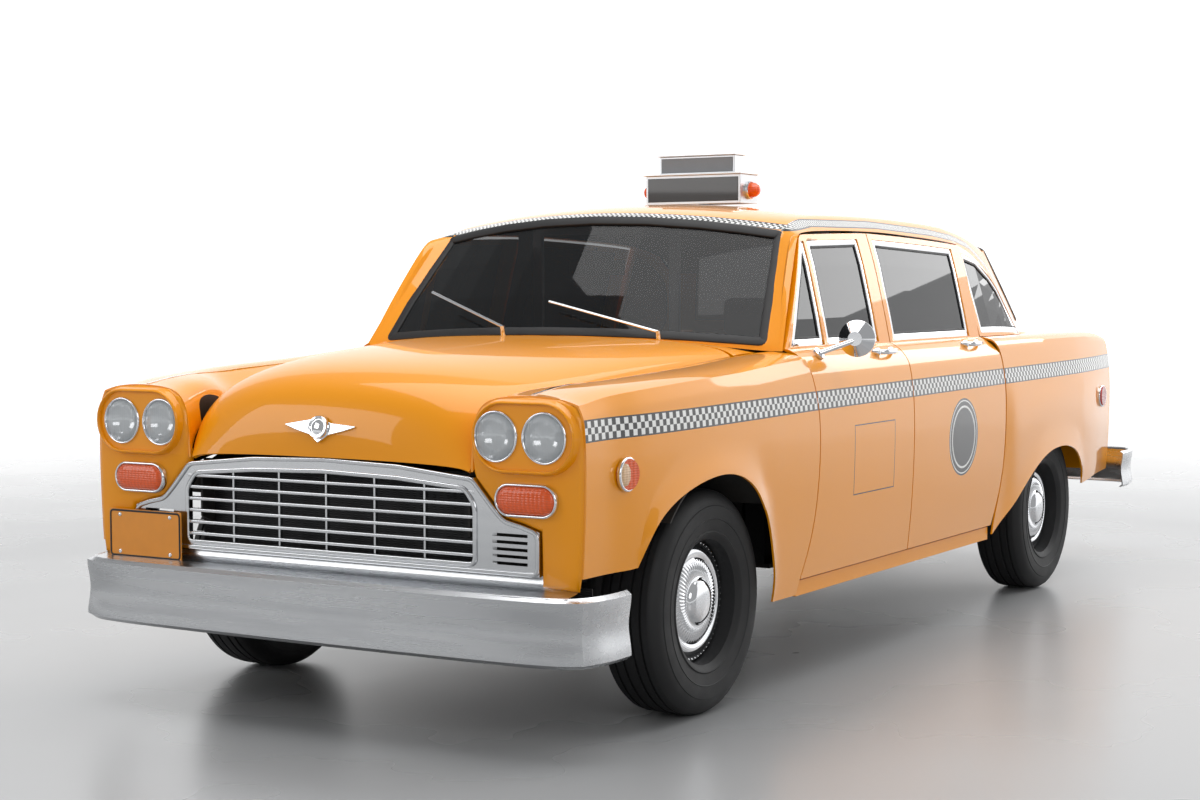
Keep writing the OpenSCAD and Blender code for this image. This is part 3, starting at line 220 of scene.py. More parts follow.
class Finish:
    """A material with its nodes. Constants are set on the shader's own sockets."""

    def __init__(self, name, colour, rough, **constants):
        self.material = bpy.data.materials.new(name)
        self.material.use_nodes = True
        self.tree = self.material.node_tree
        self.shader = self.tree.nodes["Principled BSDF"]
        self.colour = (*colour, 1.0)
        self.rough = rough
        self.feed("Base Color", self.colour)
        self.feed("Roughness", rough)
        for key, value in constants.items():
            self.feed(key.replace("_", " ").title().replace("Ior", "IOR"), value)
        self.coordinates = None

    def feed(self, socket, value):
        self.put(self.shader.inputs[socket], value)

    def put(self, socket, value):
        if isinstance(value, Socket):
            self.tree.links.new(value.out, socket)
        else:
            socket.default_value = value

    def node(self, kind, settings, inputs):
        node = self.tree.nodes.new(kind)
        for key, value in settings.items():
            setattr(node, key, value)
        for key, value in inputs.items():
            self.put(node.inputs[key], value)
        return node

    def place(self, output="Object"):
        """The point on the piece, or its own normal, as one socket."""
        if self.coordinates is None:
            self.coordinates = self.node("ShaderNodeTexCoord", {}, {})
        return Socket(self, self.coordinates.outputs[output])

    def split(self, vector):
        node = self.node("ShaderNodeSeparateXYZ", {}, {0: vector})
        return [Socket(self, out) for out in node.outputs]

    def stretched(self, scale):
        node = self.node("ShaderNodeMapping", {}, {"Vector": self.place(), "Scale": scale})
        return Socket(self, node.outputs[0])

    def noise(self, scale, detail=3.0, where=None):
        inputs = {"Vector": where or self.place(), "Scale": scale, "Detail": detail}
        return Socket(self, self.node("ShaderNodeTexNoise", {}, inputs).outputs["Fac"])

    def cells(self, scale):
        inputs = {"Vector": self.place(), "Scale": scale}
        return Socket(self, self.node("ShaderNodeTexVoronoi", {}, inputs).outputs["Distance"])

    def blend(self, factor, a, b):
        node = self.node("ShaderNodeMix", {"data_type": "RGBA"}, {0: factor, 6: a, 7: b})
        return Socket(self, node.outputs[2])

    def varied(self, depth, scale, rough_change=0.0):
        """The base colour darkens and the finish dulls a little from place to place."""
        patches = self.noise(scale)
        dark = tuple(c * (1 - depth) for c in self.colour[:3]) + (1.0,)
        colour = self.blend(patches, dark, self.colour)
        self.feed("Base Color", colour)
        if rough_change:
            self.feed("Roughness", patches * rough_change + (self.rough - rough_change / 2))
        return colour

    def bump(self, height, strength, distance=0.001):
        inputs = {"Height": height, "Strength": strength, "Distance": distance}
        node = self.node("ShaderNodeBump", {}, inputs)
        self.feed("Normal", Socket(self, node.outputs[0]))


YELLOW = (0.93, 0.335, 0.0)
WHITE = (0.82, 0.82, 0.80, 1.0)
BLACK = (0.008, 0.008, 0.009, 1.0)
BAND_EDGE = 0.0045


def cab_paint(name):
    finish = Finish(name, YELLOW, 0.38, coat_weight=0.55, coat_roughness=0.03, specular_ior_level=0.2)
    finish.paint = finish.varied(0.05, 1.3, 0.06)
    finish.bump(finish.noise(420.0, 2.0), 0.025, 0.0005)
    return finish


def chequers(finish, along, above, height):
    """(where the band is, its colour): three rows of checks between two dark lines."""
    cell = (height - 2 * BAND_EDGE) / 3
    column = (along / cell).math("FLOOR")
    row = ((above - BAND_EDGE) / cell).math("FLOOR")
    light = ((column + row) * 0.5).math("FRACT") > 0.25
    inner = above.between(BAND_EDGE, height - BAND_EDGE)
    return above.between(0.0, height), finish.blend(light * inner, BLACK, WHITE)


BELT_BAND_X = 1.13
BELT_BAND_Z = 0.897
BELT_BAND_HEIGHT = 0.063


def side_paint():
    """Paint with the chequered band along the belt, and dark trim on the inside of the doors."""
    finish = cab_paint("taxi_yellow_banded")
    x, y, z = finish.split(finish.place())
    normal = finish.split(finish.place("Normal"))
    outwards = normal[1] * y
    rise = (x - BELT_BAND_X) * -0.0065 + (x - BELT_BAND_X).math("MAXIMUM", 0.0) * -0.0067
    where, colour = chequers(finish, x, z - rise - BELT_BAND_Z, BELT_BAND_HEIGHT)
    painted = finish.blend(where * (outwards > 0.3), finish.paint, colour)
    card = x.between(0.461, 0.807) * z.between(0.591, 0.832) * (outwards > 0.3)
    blank = x.between(0.465, 0.803) * z.between(0.595, 0.828)
    painted_card = finish.blend(card * (1 - blank), painted, BLACK)
    far = ((x + 0.201) * (x + 0.201) + (z - 0.726) * (z - 0.726)).math("SQRT")
    disc = (far < 0.148) * (outwards > 0.3)
    ring = far.between(0.112, 0.120) + far.between(0.136, 0.141)
    painted = finish.blend(disc, painted_card, finish.blend(ring, (0.022, 0.022, 0.025, 1.0), WHITE))
    trim = (outwards < -0.55) * (z < 1.09)
    finish.feed("Base Color", finish.blend(trim, painted, (0.012, 0.012, 0.013, 1.0)))
    finish.feed("Coat Weight", 1 - trim)
    return finish


# Edge of the roof panel over the side windows, from the windshield's corner to the belt
DRIP_EDGE = [
    (0.880, 1.474), (0.690, 1.497), (0.150, 1.502), (-0.390, 1.485), (-0.640, 1.466),
    (-0.790, 1.439), (-0.925, 1.367), (-0.985, 1.310), (-1.035, 1.222), (-1.064, 1.140), (-1.072, 1.096),
]
ROOF_BAND_LOW = 0.012
ROOF_BAND_HEIGHT = 0.030


def roof_paint():
    """Paint with a chequered band over the doors and over the windshield."""
    finish = cab_paint("taxi_yellow_roof")
    x, y, z = finish.split(finish.place())
    above = None
    for (x0, z0), (x1, z1) in zip(DRIP_EDGE, DRIP_EDGE[1:]):
        length = math.hypot(x1 - x0, z1 - z0)
        nx, nz = (z1 - z0) / length, (x0 - x1) / length
        plane = x * nx + z * nz - (x0 * nx + z0 * nz)
        above = plane if above is None else above.math("MAXIMUM", plane)
    wide = y.math("ABSOLUTE")
    along = x - z * (x < -0.75)
    side, side_colour = chequers(finish, along, above - ROOF_BAND_LOW, ROOF_BAND_HEIGHT)
    side = side * (wide > 0.69) * (x < 0.872)
    header_x = 0.925 - (wide * wide) * 0.204
    behind = header_x - x - 0.010
    front, front_colour = chequers(finish, y, behind, 0.038)
    front = front * (wide < 0.70) * (z > 1.40)
    colour = finish.blend(side, finish.paint, side_colour)
    colour = finish.blend(front, colour, front_colour)
    normal = finish.split(finish.place("Normal"))
    lining = (normal[2] < -0.35) * (wide < 0.73) * (z > 1.36)
    finish.feed("Base Color", finish.blend(lining, colour, (0.035, 0.033, 0.030, 1.0)))
    finish.feed("Coat Weight", 1 - lining)
    return finish


def chrome():
    finish = Finish("bright_chrome", (0.80, 0.81, 0.83), 0.07, metallic=1.0)
    finish.varied(0.06, 9.0, 0.05)
    return finish


def satin_aluminium(name="satin_aluminium", rough=0.27):
    finish = Finish(name, (0.66, 0.67, 0.68), rough, metallic=1.0)
    streaks = finish.noise(9.0, 3.0, finish.stretched((3.0, 0.25, 5.0)))
    dull = (0.55, 0.56, 0.58, 1.0)
    finish.feed("Base Color", finish.blend(streaks, dull, finish.colour))
    finish.feed("Roughness", streaks * 0.12 + (rough - 0.06))
    finish.bump(finish.noise(600.0, 1.0), 0.02, 0.0003)
    return finish


def dark_glass_painted_shade():
    # Glass made almost opaque and near black: its darkness is painted shade of the cab's inside.
    finish = Finish("dark_glass_painted_shade", (0.004, 0.005, 0.007), 0.02, alpha=0.95, specular_ior_level=0.35)
    finish.bump(finish.noise(1.1, 0.0), 0.01, 0.001)
    return finish


def clear_glass():
    # Clear glass made partly opaque and near black: the darkening is painted shade of the cab's inside.
    finish = Finish("clear_glass", (0.008, 0.009, 0.010), 0.02, alpha=0.62, specular_ior_level=0.35)
    finish.bump(finish.noise(1.1, 0.0), 0.01, 0.001)
    return finish


def lamp_lens():
    """Clear moulded glass with upright flutes."""
    finish = Finish("fluted_lamp_glass", (0.80, 0.84, 0.86), 0.06, alpha=0.42, specular_ior_level=0.8)
    x, y, z = finish.split(finish.place())
    flutes = (y * 700.0).math("SINE") * 0.5 + (z * 230.0).math("SINE") * 0.25
    finish.bump(flutes, 0.5, 0.0012)
    return finish


def coloured_lens(name, colour):
    finish = Finish(name, colour, 0.16, coat_weight=0.6)
    x, y, z = finish.split(finish.place())
    ribs = (z * 900.0).math("SINE") + (y * 450.0 + x * 450.0).math("SINE")
    # Painted shade: the lens colour is darker where the ribs' bump sinks and full where it rises.
    finish.feed("Base Color", finish.blend(ribs * 0.25 + 0.5, (*[c * 0.8 for c in colour], 1.0), finish.colour))
    finish.bump(ribs, 0.35, 0.001)
    return finish


def rubber(name="black_rubber", colour=(0.011, 0.011, 0.012), rough=0.55):
    finish = Finish(name, colour, rough)
    finish.varied(0.3, 30.0, 0.16)
    finish.bump(finish.noise(300.0), 0.12, 0.0006)
    return finish


def tyre_rubber():
    """Tyre black that varies a little from place to place, with a fine noise bump."""
    finish = Finish("tyre_black", (0.012, 0.012, 0.013), 0.62)
    finish.varied(0.35, 14.0, 0.2)
    finish.bump(finish.noise(160.0), 0.2, 0.0008)
    return finish


def seat_vinyl():
    finish = Finish("black_vinyl", (0.014, 0.013, 0.013), 0.42, sheen_weight=0.1)
    grain = finish.cells(420.0)
    finish.varied(0.4, 12.0, 0.14)
    finish.bump(grain, 0.35, 0.0008)
    return finish


def moulded_black():
    finish = Finish("moulded_black", (0.015, 0.015, 0.016), 0.5)
    finish.varied(0.3, 20.0, 0.1)
    finish.bump(finish.noise(500.0), 0.15, 0.0005)
    return finish


def underbody(name, colour, rough=0.7):
    """Painted or cast metal under the car, with a little dust."""
    finish = Finish(name, colour, rough, metallic=0.2)
    dust = finish.noise(7.0, 5.0)
    finish.feed("Base Color", finish.blend(dust * 0.7, finish.colour, (0.06, 0.052, 0.043, 1.0)))
    finish.feed("Roughness", dust * 0.3 + (rough - 0.15))
    finish.bump(finish.noise(90.0, 4.0), 0.3, 0.0012)
    return finish


def plate_enamel():
    finish = Finish("plate_orange", (0.85, 0.30, 0.012), 0.35, coat_weight=0.5)
    finish.varied(0.12, 25.0, 0.1)
    finish.bump(finish.noise(120.0), 0.06, 0.0006)
    return finish


PAINT = cab_paint("taxi_yellow")
SIDE_PAINT = side_paint()
ROOF_PAINT = roof_paint()
CHROME = chrome()
SATIN = satin_aluminium()
SIGN_METAL = satin_aluminium("sign_aluminium", 0.36)
GLASS = dark_glass_painted_shade()
CLEAR = clear_glass()
LENS = lamp_lens()
AMBER = coloured_lens("amber_lens", (0.85, 0.10, 0.002))
RED = coloured_lens("red_lens", (0.50, 0.010, 0.008))
RUBBER = rubber()
TYRE = tyre_rubber()
VINYL = seat_vinyl()
MOULDED = moulded_black()
FRAME_BLACK = underbody("frame_black", (0.014, 0.014, 0.015))
CAST = underbody("cast_iron", (0.10, 0.10, 0.105), 0.6)
PLATE = plate_enamel()
PARTITION = satin_aluminium("partition_aluminium", 0.4)
POLISHED = satin_aluminium("polished_aluminium", 0.16)
REFLECTOR = satin_aluminium("lamp_reflector", 0.12)
AMBER_CLEAR = coloured_lens("pale_amber_lens", (0.80, 0.52, 0.30))


def fine_fins():
    """Radiator core: thin level fins between flat tubes, with painted shade in the gaps between the fins."""
    finish = Finish("radiator_fins", (0.020, 0.020, 0.021), 0.5, metallic=0.6)
    x, y, z = finish.split(finish.place())
    fins = (z * 900.0).math("SINE") * ((y * 260.0).math("SINE") > 0.2)
    finish.feed("Base Color", finish.blend(fins * 0.5 + 0.5, (0.005, 0.005, 0.006, 1.0), (0.06, 0.06, 0.062, 1.0)))
    finish.bump(fins, 0.5, 0.002)
    return finish


def sign_panel(name, colour, coat):
    """Plain sign face with no lettering."""
    finish = Finish(name, colour, 0.35, coat_weight=coat)
    finish.varied(0.2, 18.0, 0.1)
    finish.bump(finish.noise(60.0), 0.04, 0.001)
    return finish


CORE = fine_fins()
SIGN_BLACK = sign_panel("sign_black", (0.010, 0.010, 0.011), 0.7)
SIGN_GREY = sign_panel("sign_grey", (0.115, 0.120, 0.130), 0.4)


# --- Making pieces --------------------------------------------------------------------------
def sharpen(bm, angle):
    """Edges over this angle stay sharp when the surface is subdivided."""
    crease = bm.edges.layers.float.get("crease_edge") or bm.edges.layers.float.new("crease_edge")
    for edge in bm.edges:
        hard = len(edge.link_faces) != 2 or edge.calc_face_angle(0.0) > angle
        edge[crease] = 1.0 if hard else 0.0
        edge.smooth = not hard


def add_modifier(obj, kind, **settings):
    modifier = obj.modifiers.new(kind.lower(), kind)
    for key, value in settings.items():
        setattr(modifier, key, value)


def finish_piece(name, bm, finish, slot, body=CAB, levels=0, round_by=0.0, crease=None, smooth=True, outwards=True):
    """A bmesh becomes a piece that rides on its body."""
    bmesh.ops.remove_doubles(bm, verts=bm.verts, dist=1e-6)
    if outwards:
        bmesh.ops.recalc_face_normals(bm, faces=bm.faces)
    for face in bm.faces:
        face.smooth = smooth
    sharpen(bm, math.radians(crease or 40))
    mesh = bpy.data.meshes.new(name)
    bm.to_mesh(mesh)
    bm.free()
    obj = bpy.data.objects.new(name, mesh)
    bpy.context.scene.collection.objects.link(obj)
    mesh.materials.append(finish.material)
    if levels:
        add_modifier(obj, "SUBSURF", levels=levels, render_levels=levels)
    if round_by:
        add_modifier(
            obj, "BEVEL", width=round_by, segments=2, limit_method="ANGLE",
            angle_limit=math.radians(50), harden_normals=True,
        )
    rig.ride(obj, body)
    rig.slot(obj, slot)
    return obj


def node_copy(node):
    """A merged copy of a CAD node's mesh, as a bmesh in the row frame."""
    bm = bmesh.new()
    bm.from_mesh(frame["nodes"][node].data)
    bmesh.ops.remove_doubles(bm, verts=bm.verts, dist=2e-5)
    return bm


BODY_OF = {node: body for body, nodes in frame["record"]["behaviour"]["bodies"].items() for node in nodes}
SLOT_OF = {part["node"]: part["material_slot"] for part in frame["record"]["subparts"]}


def panel(node, finish, levels=2, round_by=0.0012, name=None):
    """A pressed panel: the CAD node's own shape, made smooth, with rounded hems."""
    bm = node_copy(node)
    bmesh.ops.join_triangles(
        bm, faces=bm.faces, angle_face_threshold=math.radians(35), angle_shape_threshold=math.radians(80)
    )
    obj = finish_piece(
        name or node + "_skin", bm, finish, SLOT_OF[node], BODY_OF[node], levels, round_by, outwards=False
    )
    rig.replaces(obj, node)
    return obj


def machined(node, finish, round_by=0.002):
    """A CAD node with its flat faces joined and its edges rounded."""
    bm = node_copy(node)
    bmesh.ops.dissolve_limit(
        bm, angle_limit=math.radians(0.5), verts=bm.verts, edges=bm.edges, delimit={"NORMAL"}
    )
    obj = finish_piece(
        node + "_made", bm, finish, SLOT_OF[node], BODY_OF[node], 0, round_by, crease=35, outwards=False
    )
    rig.replaces(obj, node)
    return obj


def dress(node, finish):
    """A CAD node whose shape is right keeps it and gets its finish."""
    data = frame["nodes"][node].data
    data.materials.clear()
    data.materials.append(finish.material)


def sweep(bm, path, section, side, closed=False):
    """Carries a section along a path. Its points are (towards side, outwards) from the path;
    side(k) gives the direction across the path at its point k."""
    count = len(path)
    ring = None
    edges = None
    for step in range(count + 1 if closed else count):
        k = step % count
        ahead = path[(k + 1) % count] if closed or k + 1 < count else path[k]
        behind = path[k - 1] if closed or k > 0 else path[k]
        along = (ahead - behind).normalized()
        across = side(k)
        across = (across - along * across.dot(along)).normalized()
        up = along.cross(across)
        points = [path[k] + across * a + up * b for a, b in section]
        if ring is None:
            ring = [bm.verts.new(p) for p in points]
            edges = [bm.edges.new((ring[i - 1], ring[i])) for i in range(len(ring))]
            if not closed:
                bm.faces.new(ring)
            continue
        made = bmesh.ops.extrude_edge_only(bm, edges=edges)["geom"]
        fresh = {v for v in made if isinstance(v, bmesh.types.BMVert)}
        ring = [next(e.other_vert(v) for e in v.link_edges if e.other_vert(v) in fresh) for v in ring]
        edges = [e for e in made if isinstance(e, bmesh.types.BMEdge) and set(e.verts) <= fresh]
        for vert, point in zip(ring, points):
            vert.co = point
    if not closed:
        bm.faces.new(ring)


def rounded_section(width, height, corner=0.3):
    """Section of a strip, from (0, 0) at its foot's middle, with its two upper corners rounded."""
    w, c = width / 2, min(width, height) * corner
    return [(-w, 0), (w, 0), (w, height - c), (w - c * 0.3, height - c * 0.3), (w - c, height),
            (c - w, height), (c * 0.3 - w, height - c * 0.3), (-w, height - c)]


def spun(profile, centre, axis, steps=64):
    """A bmesh turned from a profile of (radius, along the axis) points round an axis."""
    bm = bmesh.new()
    verts = [bm.verts.new((r, 0, h)) for r, h in profile]
    edges = [bm.edges.new(pair) for pair in zip(verts, verts[1:])]
    bmesh.ops.spin(
        bm, geom=verts + edges, cent=(0, 0, 0), axis=(0, 0, 1), angle=math.tau, steps=steps, use_merge=True
    )
    bmesh.ops.remove_doubles(bm, verts=bm.verts, dist=1e-6)
    turn = Vector((0, 0, 1)).rotation_difference(Vector(axis)).to_matrix().to_4x4()
    bmesh.ops.transform(bm, matrix=Matrix.Translation(centre) @ turn, verts=bm.verts)
    return bm


def box_mesh(low, high):
    bm = bmesh.new()
    low, high = Vector(low), Vector(high)
    bmesh.ops.create_cube(bm, size=1.0)
    bmesh.ops.scale(bm, vec=high - low, verts=bm.verts)
    bmesh.ops.translate(bm, vec=(low + high) / 2, verts=bm.verts)
    return bm


def joined(meshes):
    """Several bmeshes as one."""
    whole = meshes[0]
    for other in meshes[1:]:
        spare = bpy.data.meshes.new("spare")
        other.to_mesh(spare)
        other.free()
        whole.from_mesh(spare)
        bpy.data.meshes.remove(spare)
    return whole


def mirrored_copy(bm):
    """The bmesh and its reflection across the car's middle."""
    other = bm.copy()
    bmesh.ops.scale(other, vec=(1, -1, 1), verts=other.verts)
    bmesh.ops.reverse_faces(other, faces=other.faces)
    return joined([bm, other])


def islands(bm):
    """The separate shells of a bmesh, as lists of faces."""
    left = set(bm.faces)
    groups = []
    while left:
        todo = [left.pop()]
        group = []
        while todo:
            face = todo.pop()
            group.append(face)
            for edge in face.edges:
                for other in edge.link_faces:
                    if other in left:
                        left.remove(other)
                        todo.append(other)
        groups.append(group)
    return sorted(groups, key=lambda g: -max(f.calc_center_median().x for f in g))


def face_border(faces):
    """The border of a patch of faces, as points in order."""
    patch = set(faces)
    edges = [e for f in faces for e in f.edges if sum(g in patch for g in e.link_faces) == 1]
    beyond = {}
    for edge in edges:
        for vert in edge.verts:
            beyond.setdefault(vert, []).append(edge.other_vert(vert))
    start = edges[0].verts[0]
    loop, last, here = [start], None, start
    while True:
        options = [v for v in beyond[here] if v is not last]
        last, here = here, options[0]
        if here is start:
            return [v.co.copy() for v in loop]
        loop.append(here)


def pane_border(node, outward, number=0):
    """The outer border of a pane of glass."""
    bm = node_copy(node)
    faces = [f for f in islands(bm)[number] if f.normal.dot(Vector(outward)) > 0.45]
    loop = face_border(faces)
    bm.free()
    return loop


def rounded_loop(loop, radius, spacing=0.06):
    """A closed path with its sharp corners rounded and its long sides divided."""
    path = []
    count = len(loop)
    for k in range(count):
        before, here, after = loop[k - 1], loop[k], loop[(k + 1) % count]
        a, b = (before - here), (after - here)
        if math.pi - a.angle(b) > math.radians(28):
            reach = min(radius, a.length * 0.45, b.length * 0.45)
            start, end = here + a.normalized() * reach, here + b.normalized() * reach
            path += [start.lerp(here, u).lerp(here.lerp(end, u), u) for u in (0, 0.25, 0.5, 0.75, 1)]
        else:
            path.append(here)
    filled = []
    for k, point in enumerate(path):
        after = path[(k + 1) % len(path)]
        parts = max(1, int((after - point).length / spacing))
        filled += [point.lerp(after, i / parts) for i in range(parts)]
    return filled


def loop_frame(loop):
    """The middle of a closed path and the normal of the plane that fits it best."""
    centre = sum(loop, Vector()) / len(loop)
    normal = Vector()
    for k, point in enumerate(loop):
        normal += (point - centre).cross(loop[(k + 1) % len(loop)] - centre)
    return centre, normal.normalized()


def trim_round(name, loop, outward, sections, body, radius=0.012, lift=0.0):
    """Strips round an opening. sections is a list of (section, finish, slot); a section's first
    number runs away from the opening and its second outwards."""
    centre, normal = loop_frame(loop)
    if normal.dot(Vector(outward)) < 0:
        loop = loop[::-1]
        normal = -normal
    path = rounded_loop([p + normal * lift for p in loop], radius)
    for number, (section, finish, slot) in enumerate(sections):
        bm = bmesh.new()
        count = len(path)

        def away(k):
            along = (path[(k + 1) % count] - path[k - 1]).normalized()
            return along.cross(normal)

        sweep(bm, path, [(a, -b) for a, b in section][::-1], away, closed=True)
        bmesh.ops.remove_doubles(bm, verts=bm.verts, dist=1e-6)
        finish_piece(f"{name}_{number}", bm, finish, slot, body, crease=60)


# --- Body panels ----------------------------------------------------------------------------
for node in ("hood", "trunk_lid", "tail_panel", "cowl", "rear_deck", "rocker_panels"):
    panel(node, PAINT)
for node in ("front_fenders", "rear_quarters", "front_door_left", "front_door_right",
             "rear_door_left", "rear_door_right"):
    panel(node, SIDE_PAINT)
panel("roof", ROOF_PAINT)
machined("cabin_posts", MOULDED)
for node in ("front_bumper", "rear_bumper"):
    panel(node, SATIN)

# --- Glass, frames and seals ----------------------------------------------------------------
SIDE_GLASS = {
    "front_door_glass_left": "front_door_l", "rear_door_glass_left": "rear_door_l",
    "front_door_glass_right": "front_door_r", "rear_door_glass_right": "rear_door_r",
}
FRAME_STRIP = [(x - 0.008, z) for x, z in rounded_section(0.026, 0.006)]
INNER_SEAL = [(x - 0.024, z) for x, z in rounded_section(0.010, 0.004)]
for node in frame["nodes"]:
    if SLOT_OF[node] != "glass":
        continue
    front = node in ("windshield", "rear_window")
    dress(node, CLEAR if front else GLASS)
    if front:
        outward = (1, 0, 0.6) if node == "windshield" else (-1, 0, 0.6)
        seal = [(x - 0.006, z - 0.001) for x, z in rounded_section(0.034, 0.010)]
        trim_round(node + "_seal", pane_border(node, outward), outward, [(seal, RUBBER, "black_plastic")], CAB, 0.07)
        continue
    bm = node_copy(node)
    groups = islands(bm)
    count = len(groups)
    bm.free()
    for number in range(count):
        outward = (0, 1, 0) if "left" in node else (0, -1, 0)
        sections = [(FRAME_STRIP, CHROME, "bright_metal"), (INNER_SEAL, RUBBER, "black_plastic")]
        for way in ([outward] if "left" in node or "right" in node else [(0, 1, 0), (0, -1, 0)]):
            try:
                loop = pane_border(node, way, number)
            except (IndexError, KeyError):
                continue
            if (sum(loop, Vector()) / len(loop)).dot(Vector(way)) < 0:
                continue
            label = f"{node}_{number}_{'l' if way[1] > 0 else 'r'}_trim"
            trim_round(label, loop, way, sections, SIDE_GLASS.get(node, CAB), 0.02)

# --- Tyres and wheel covers -----------------------------------------------------------------
def tyre(node, body):
    """Road tyre: rounded shoulders and four grooves round the tread."""
    low, high = (Vector(p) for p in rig.box(node))
    centre = (low + high) / 2
    half = (high.y - low.y) / 2
    top = (high.z - low.z) / 2
    rim = 0.192
    crown = [(top, 0.0)]
    for groove in (0.020, 0.052):
        crown += [(top - 0.0006, groove - 0.0042), (top - 0.008, groove - 0.003),
                  (top - 0.008, groove + 0.003), (top - 0.001, groove + 0.0042)]
    side = [
        (top - 0.004, 0.074), (top - 0.012, 0.086), (top - 0.026, half - 0.010), (top - 0.040, half - 0.004),
        (top - 0.050, half - 0.0035), (top - 0.052, half - 0.001), (top - 0.070, half),
        (top - 0.090, half - 0.002), (top - 0.092, half - 0.0005), (top - 0.094, half - 0.0025),
        (rim + 0.026, half - 0.010), (rim + 0.022, half - 0.007), (rim + 0.016, half - 0.009),
        (rim + 0.006, half - 0.018), (rim, half - 0.022),
    ]
    half_profile = crown + side
    profile = [(r, -h) for r, h in half_profile[:0:-1]] + half_profile
    profile += [(rim, 0.0), profile[0]]
    bm = spun(profile, centre, (0, 1, 0), 120)
    tread = []
    for face in bm.faces:
        spot = face.calc_center_median() - centre
        if math.hypot(spot.x, spot.z) > top - 0.003 and abs(spot.y) < 0.076:
            tread.append(face)
    bmesh.ops.inset_individual(bm, faces=tread, thickness=0.0022, depth=0.0)
    for face in tread:
        spot = face.calc_center_median() - centre
        bmesh.ops.translate(bm, vec=Vector((spot.x, 0, spot.z)).normalized() * 0.0, verts=face.verts)
    obj = finish_piece(node + "_made", bm, TYRE, "tyre_rubber", body, 0, 0.0, crease=32)
    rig.replaces(obj, node)


def cover(node, body, side):
    """Pressed wheel with a bright domed cover: a fluted ring, a beaded rim and a plain cap."""
    low, high = (Vector(p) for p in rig.box(node))
    centre = Vector(((low.x + high.x) / 2, 0, (low.z + high.z) / 2))
    face = high.y if side > 0 else -low.y
    inner = face - (high.y - low.y)
    flutes = 60
    profile = [
        (0.0, face), (0.020, face - 0.0005), (0.045, face - 0.003), (0.060, face - 0.008), (0.068, face - 0.016),
        (0.072, face - 0.022), (0.078, face - 0.023), (0.084, face - 0.020), (0.100, face - 0.021),
        (0.118, face - 0.026), (0.128, face - 0.033), (0.133, face - 0.036), (0.138, face - 0.034),
        (0.146, face - 0.032), (0.156, face - 0.033), (0.166, face - 0.038), (0.172, face - 0.044),
        (0.176, face - 0.045), (0.181, face - 0.042), (0.186, face - 0.045), (0.188, face - 0.056),
        (0.186, face - 0.070),
    ]
    bm = spun(profile, (0, 0, 0), (0, 0, 1), flutes * 4)
    for vert in bm.verts:
        radius = math.hypot(vert.co.x, vert.co.y)
        if 0.083 < radius < 0.119:
            turn = math.atan2(vert.co.y, vert.co.x) * flutes
            vert.co.z -= 0.0028 * (0.5 - 0.5 * math.cos(turn))
        if 0.1805 < radius < 0.1815:
            turn = math.atan2(vert.co.y, vert.co.x) * flutes
            vert.co.z -= 0.0015 * (0.5 - 0.5 * math.cos(turn))
    turned = Matrix.Rotation(-math.pi / 2 * side, 4, "X")
    bmesh.ops.transform(bm, matrix=Matrix.Translation(centre) @ turned, verts=bm.verts)
    bmesh.ops.recalc_face_normals(bm, faces=bm.faces)
    bmesh.ops.solidify(bm, geom=bm.faces, thickness=0.0012)
    obj = finish_piece(node + "_cover", bm, CHROME, "bright_metal", body, crease=50)
    width = high.y - low.y
    pressed = [
        (0.022, face - 0.120), (0.060, face - 0.118), (0.090, face - 0.100), (0.140, face - 0.082),
        (0.166, face - 0.088), (0.170, face - 0.100), (0.170, face - width + 0.040),
        (0.187, face - width + 0.024), (0.191, face - width + 0.006), (0.189, face - width + 0.004),
        (0.184, face - width + 0.020), (0.166, face - width + 0.036), (0.164, face - 0.104),
    ]
    bm = spun(pressed, (0, 0, 0), (0, 0, 1), 72)
    bmesh.ops.transform(bm, matrix=Matrix.Translation(centre) @ turned, verts=bm.verts)
    finish_piece(node + "_disc", bm, CAST, "bright_metal", body, crease=45)
    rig.replaces(obj, node)


for end in ("front", "rear"):
    for flank, side in (("left", 1), ("right", -1)):
        corner = "wheel_" + end[0] + flank[0]
        tyre(f"{end}_tyre_{flank}", corner)
        cover(f"{end}_wheel_{flank}", corner, side)

# --- Front of the car -----------------------------------------------------------------------
def surface(node):
    """A tree to find where a ray meets a CAD node."""
    bm = node_copy(node)
    tree = BVHTree.FromBMesh(bm)
    bm.free()
    return tree


def hit(tree, start, way):
    found = tree.ray_cast(Vector(start), Vector(way).normalized())
    return found[0], found[1]


def both_ways(loop):
    """A half outline from the middle line out, completed by its reflection."""
    return loop + [(-y, z) for y, z in reversed(loop) if y > 1e-6]


def inset_ring(points, distance):
    """A closed ring in the YZ plane moved inwards."""
    ring = []
    count = len(points)
    for k in range(count):
        before, here, after = (Vector(points[i % count]) for i in (k - 1, k, k + 1))
        a, b = (here - before).normalized(), (after - here).normalized()
        normal = Vector((-a.y, a.x)) + Vector((-b.y, b.x))
        normal.normalize()
        reach = distance / max(0.5, normal.dot(Vector((-a.y, a.x))))
        ring.append(here + normal * reach)
    return ring


def oval_loop(y, z, width, height, steps=16):
    """A long oval in the YZ plane, anticlockwise seen from the front."""
    radius = height / 2
    reach = (width - height) / 2
    loop = []
    for side in (1, -1):
        for k in range(steps + 1):
            angle = -math.pi / 2 + math.pi * k / steps
            loop.append((y + side * (reach + radius * math.cos(angle)), z + side * radius * math.sin(angle)))
    return loop


def loft(bm, rings):
    """Bands of faces between rings of the same number of points. Each ring is [(x, y, z)]."""
    made = []
    for ring in rings:
        verts = [bm.verts.new(p) for p in ring]
        edges = [bm.edges.new((verts[k - 1], verts[k])) for k in range(len(verts))]
        if made:
            bmesh.ops.bridge_loops(bm, edges=made[-1] + edges)
        made.append(edges)
    return made


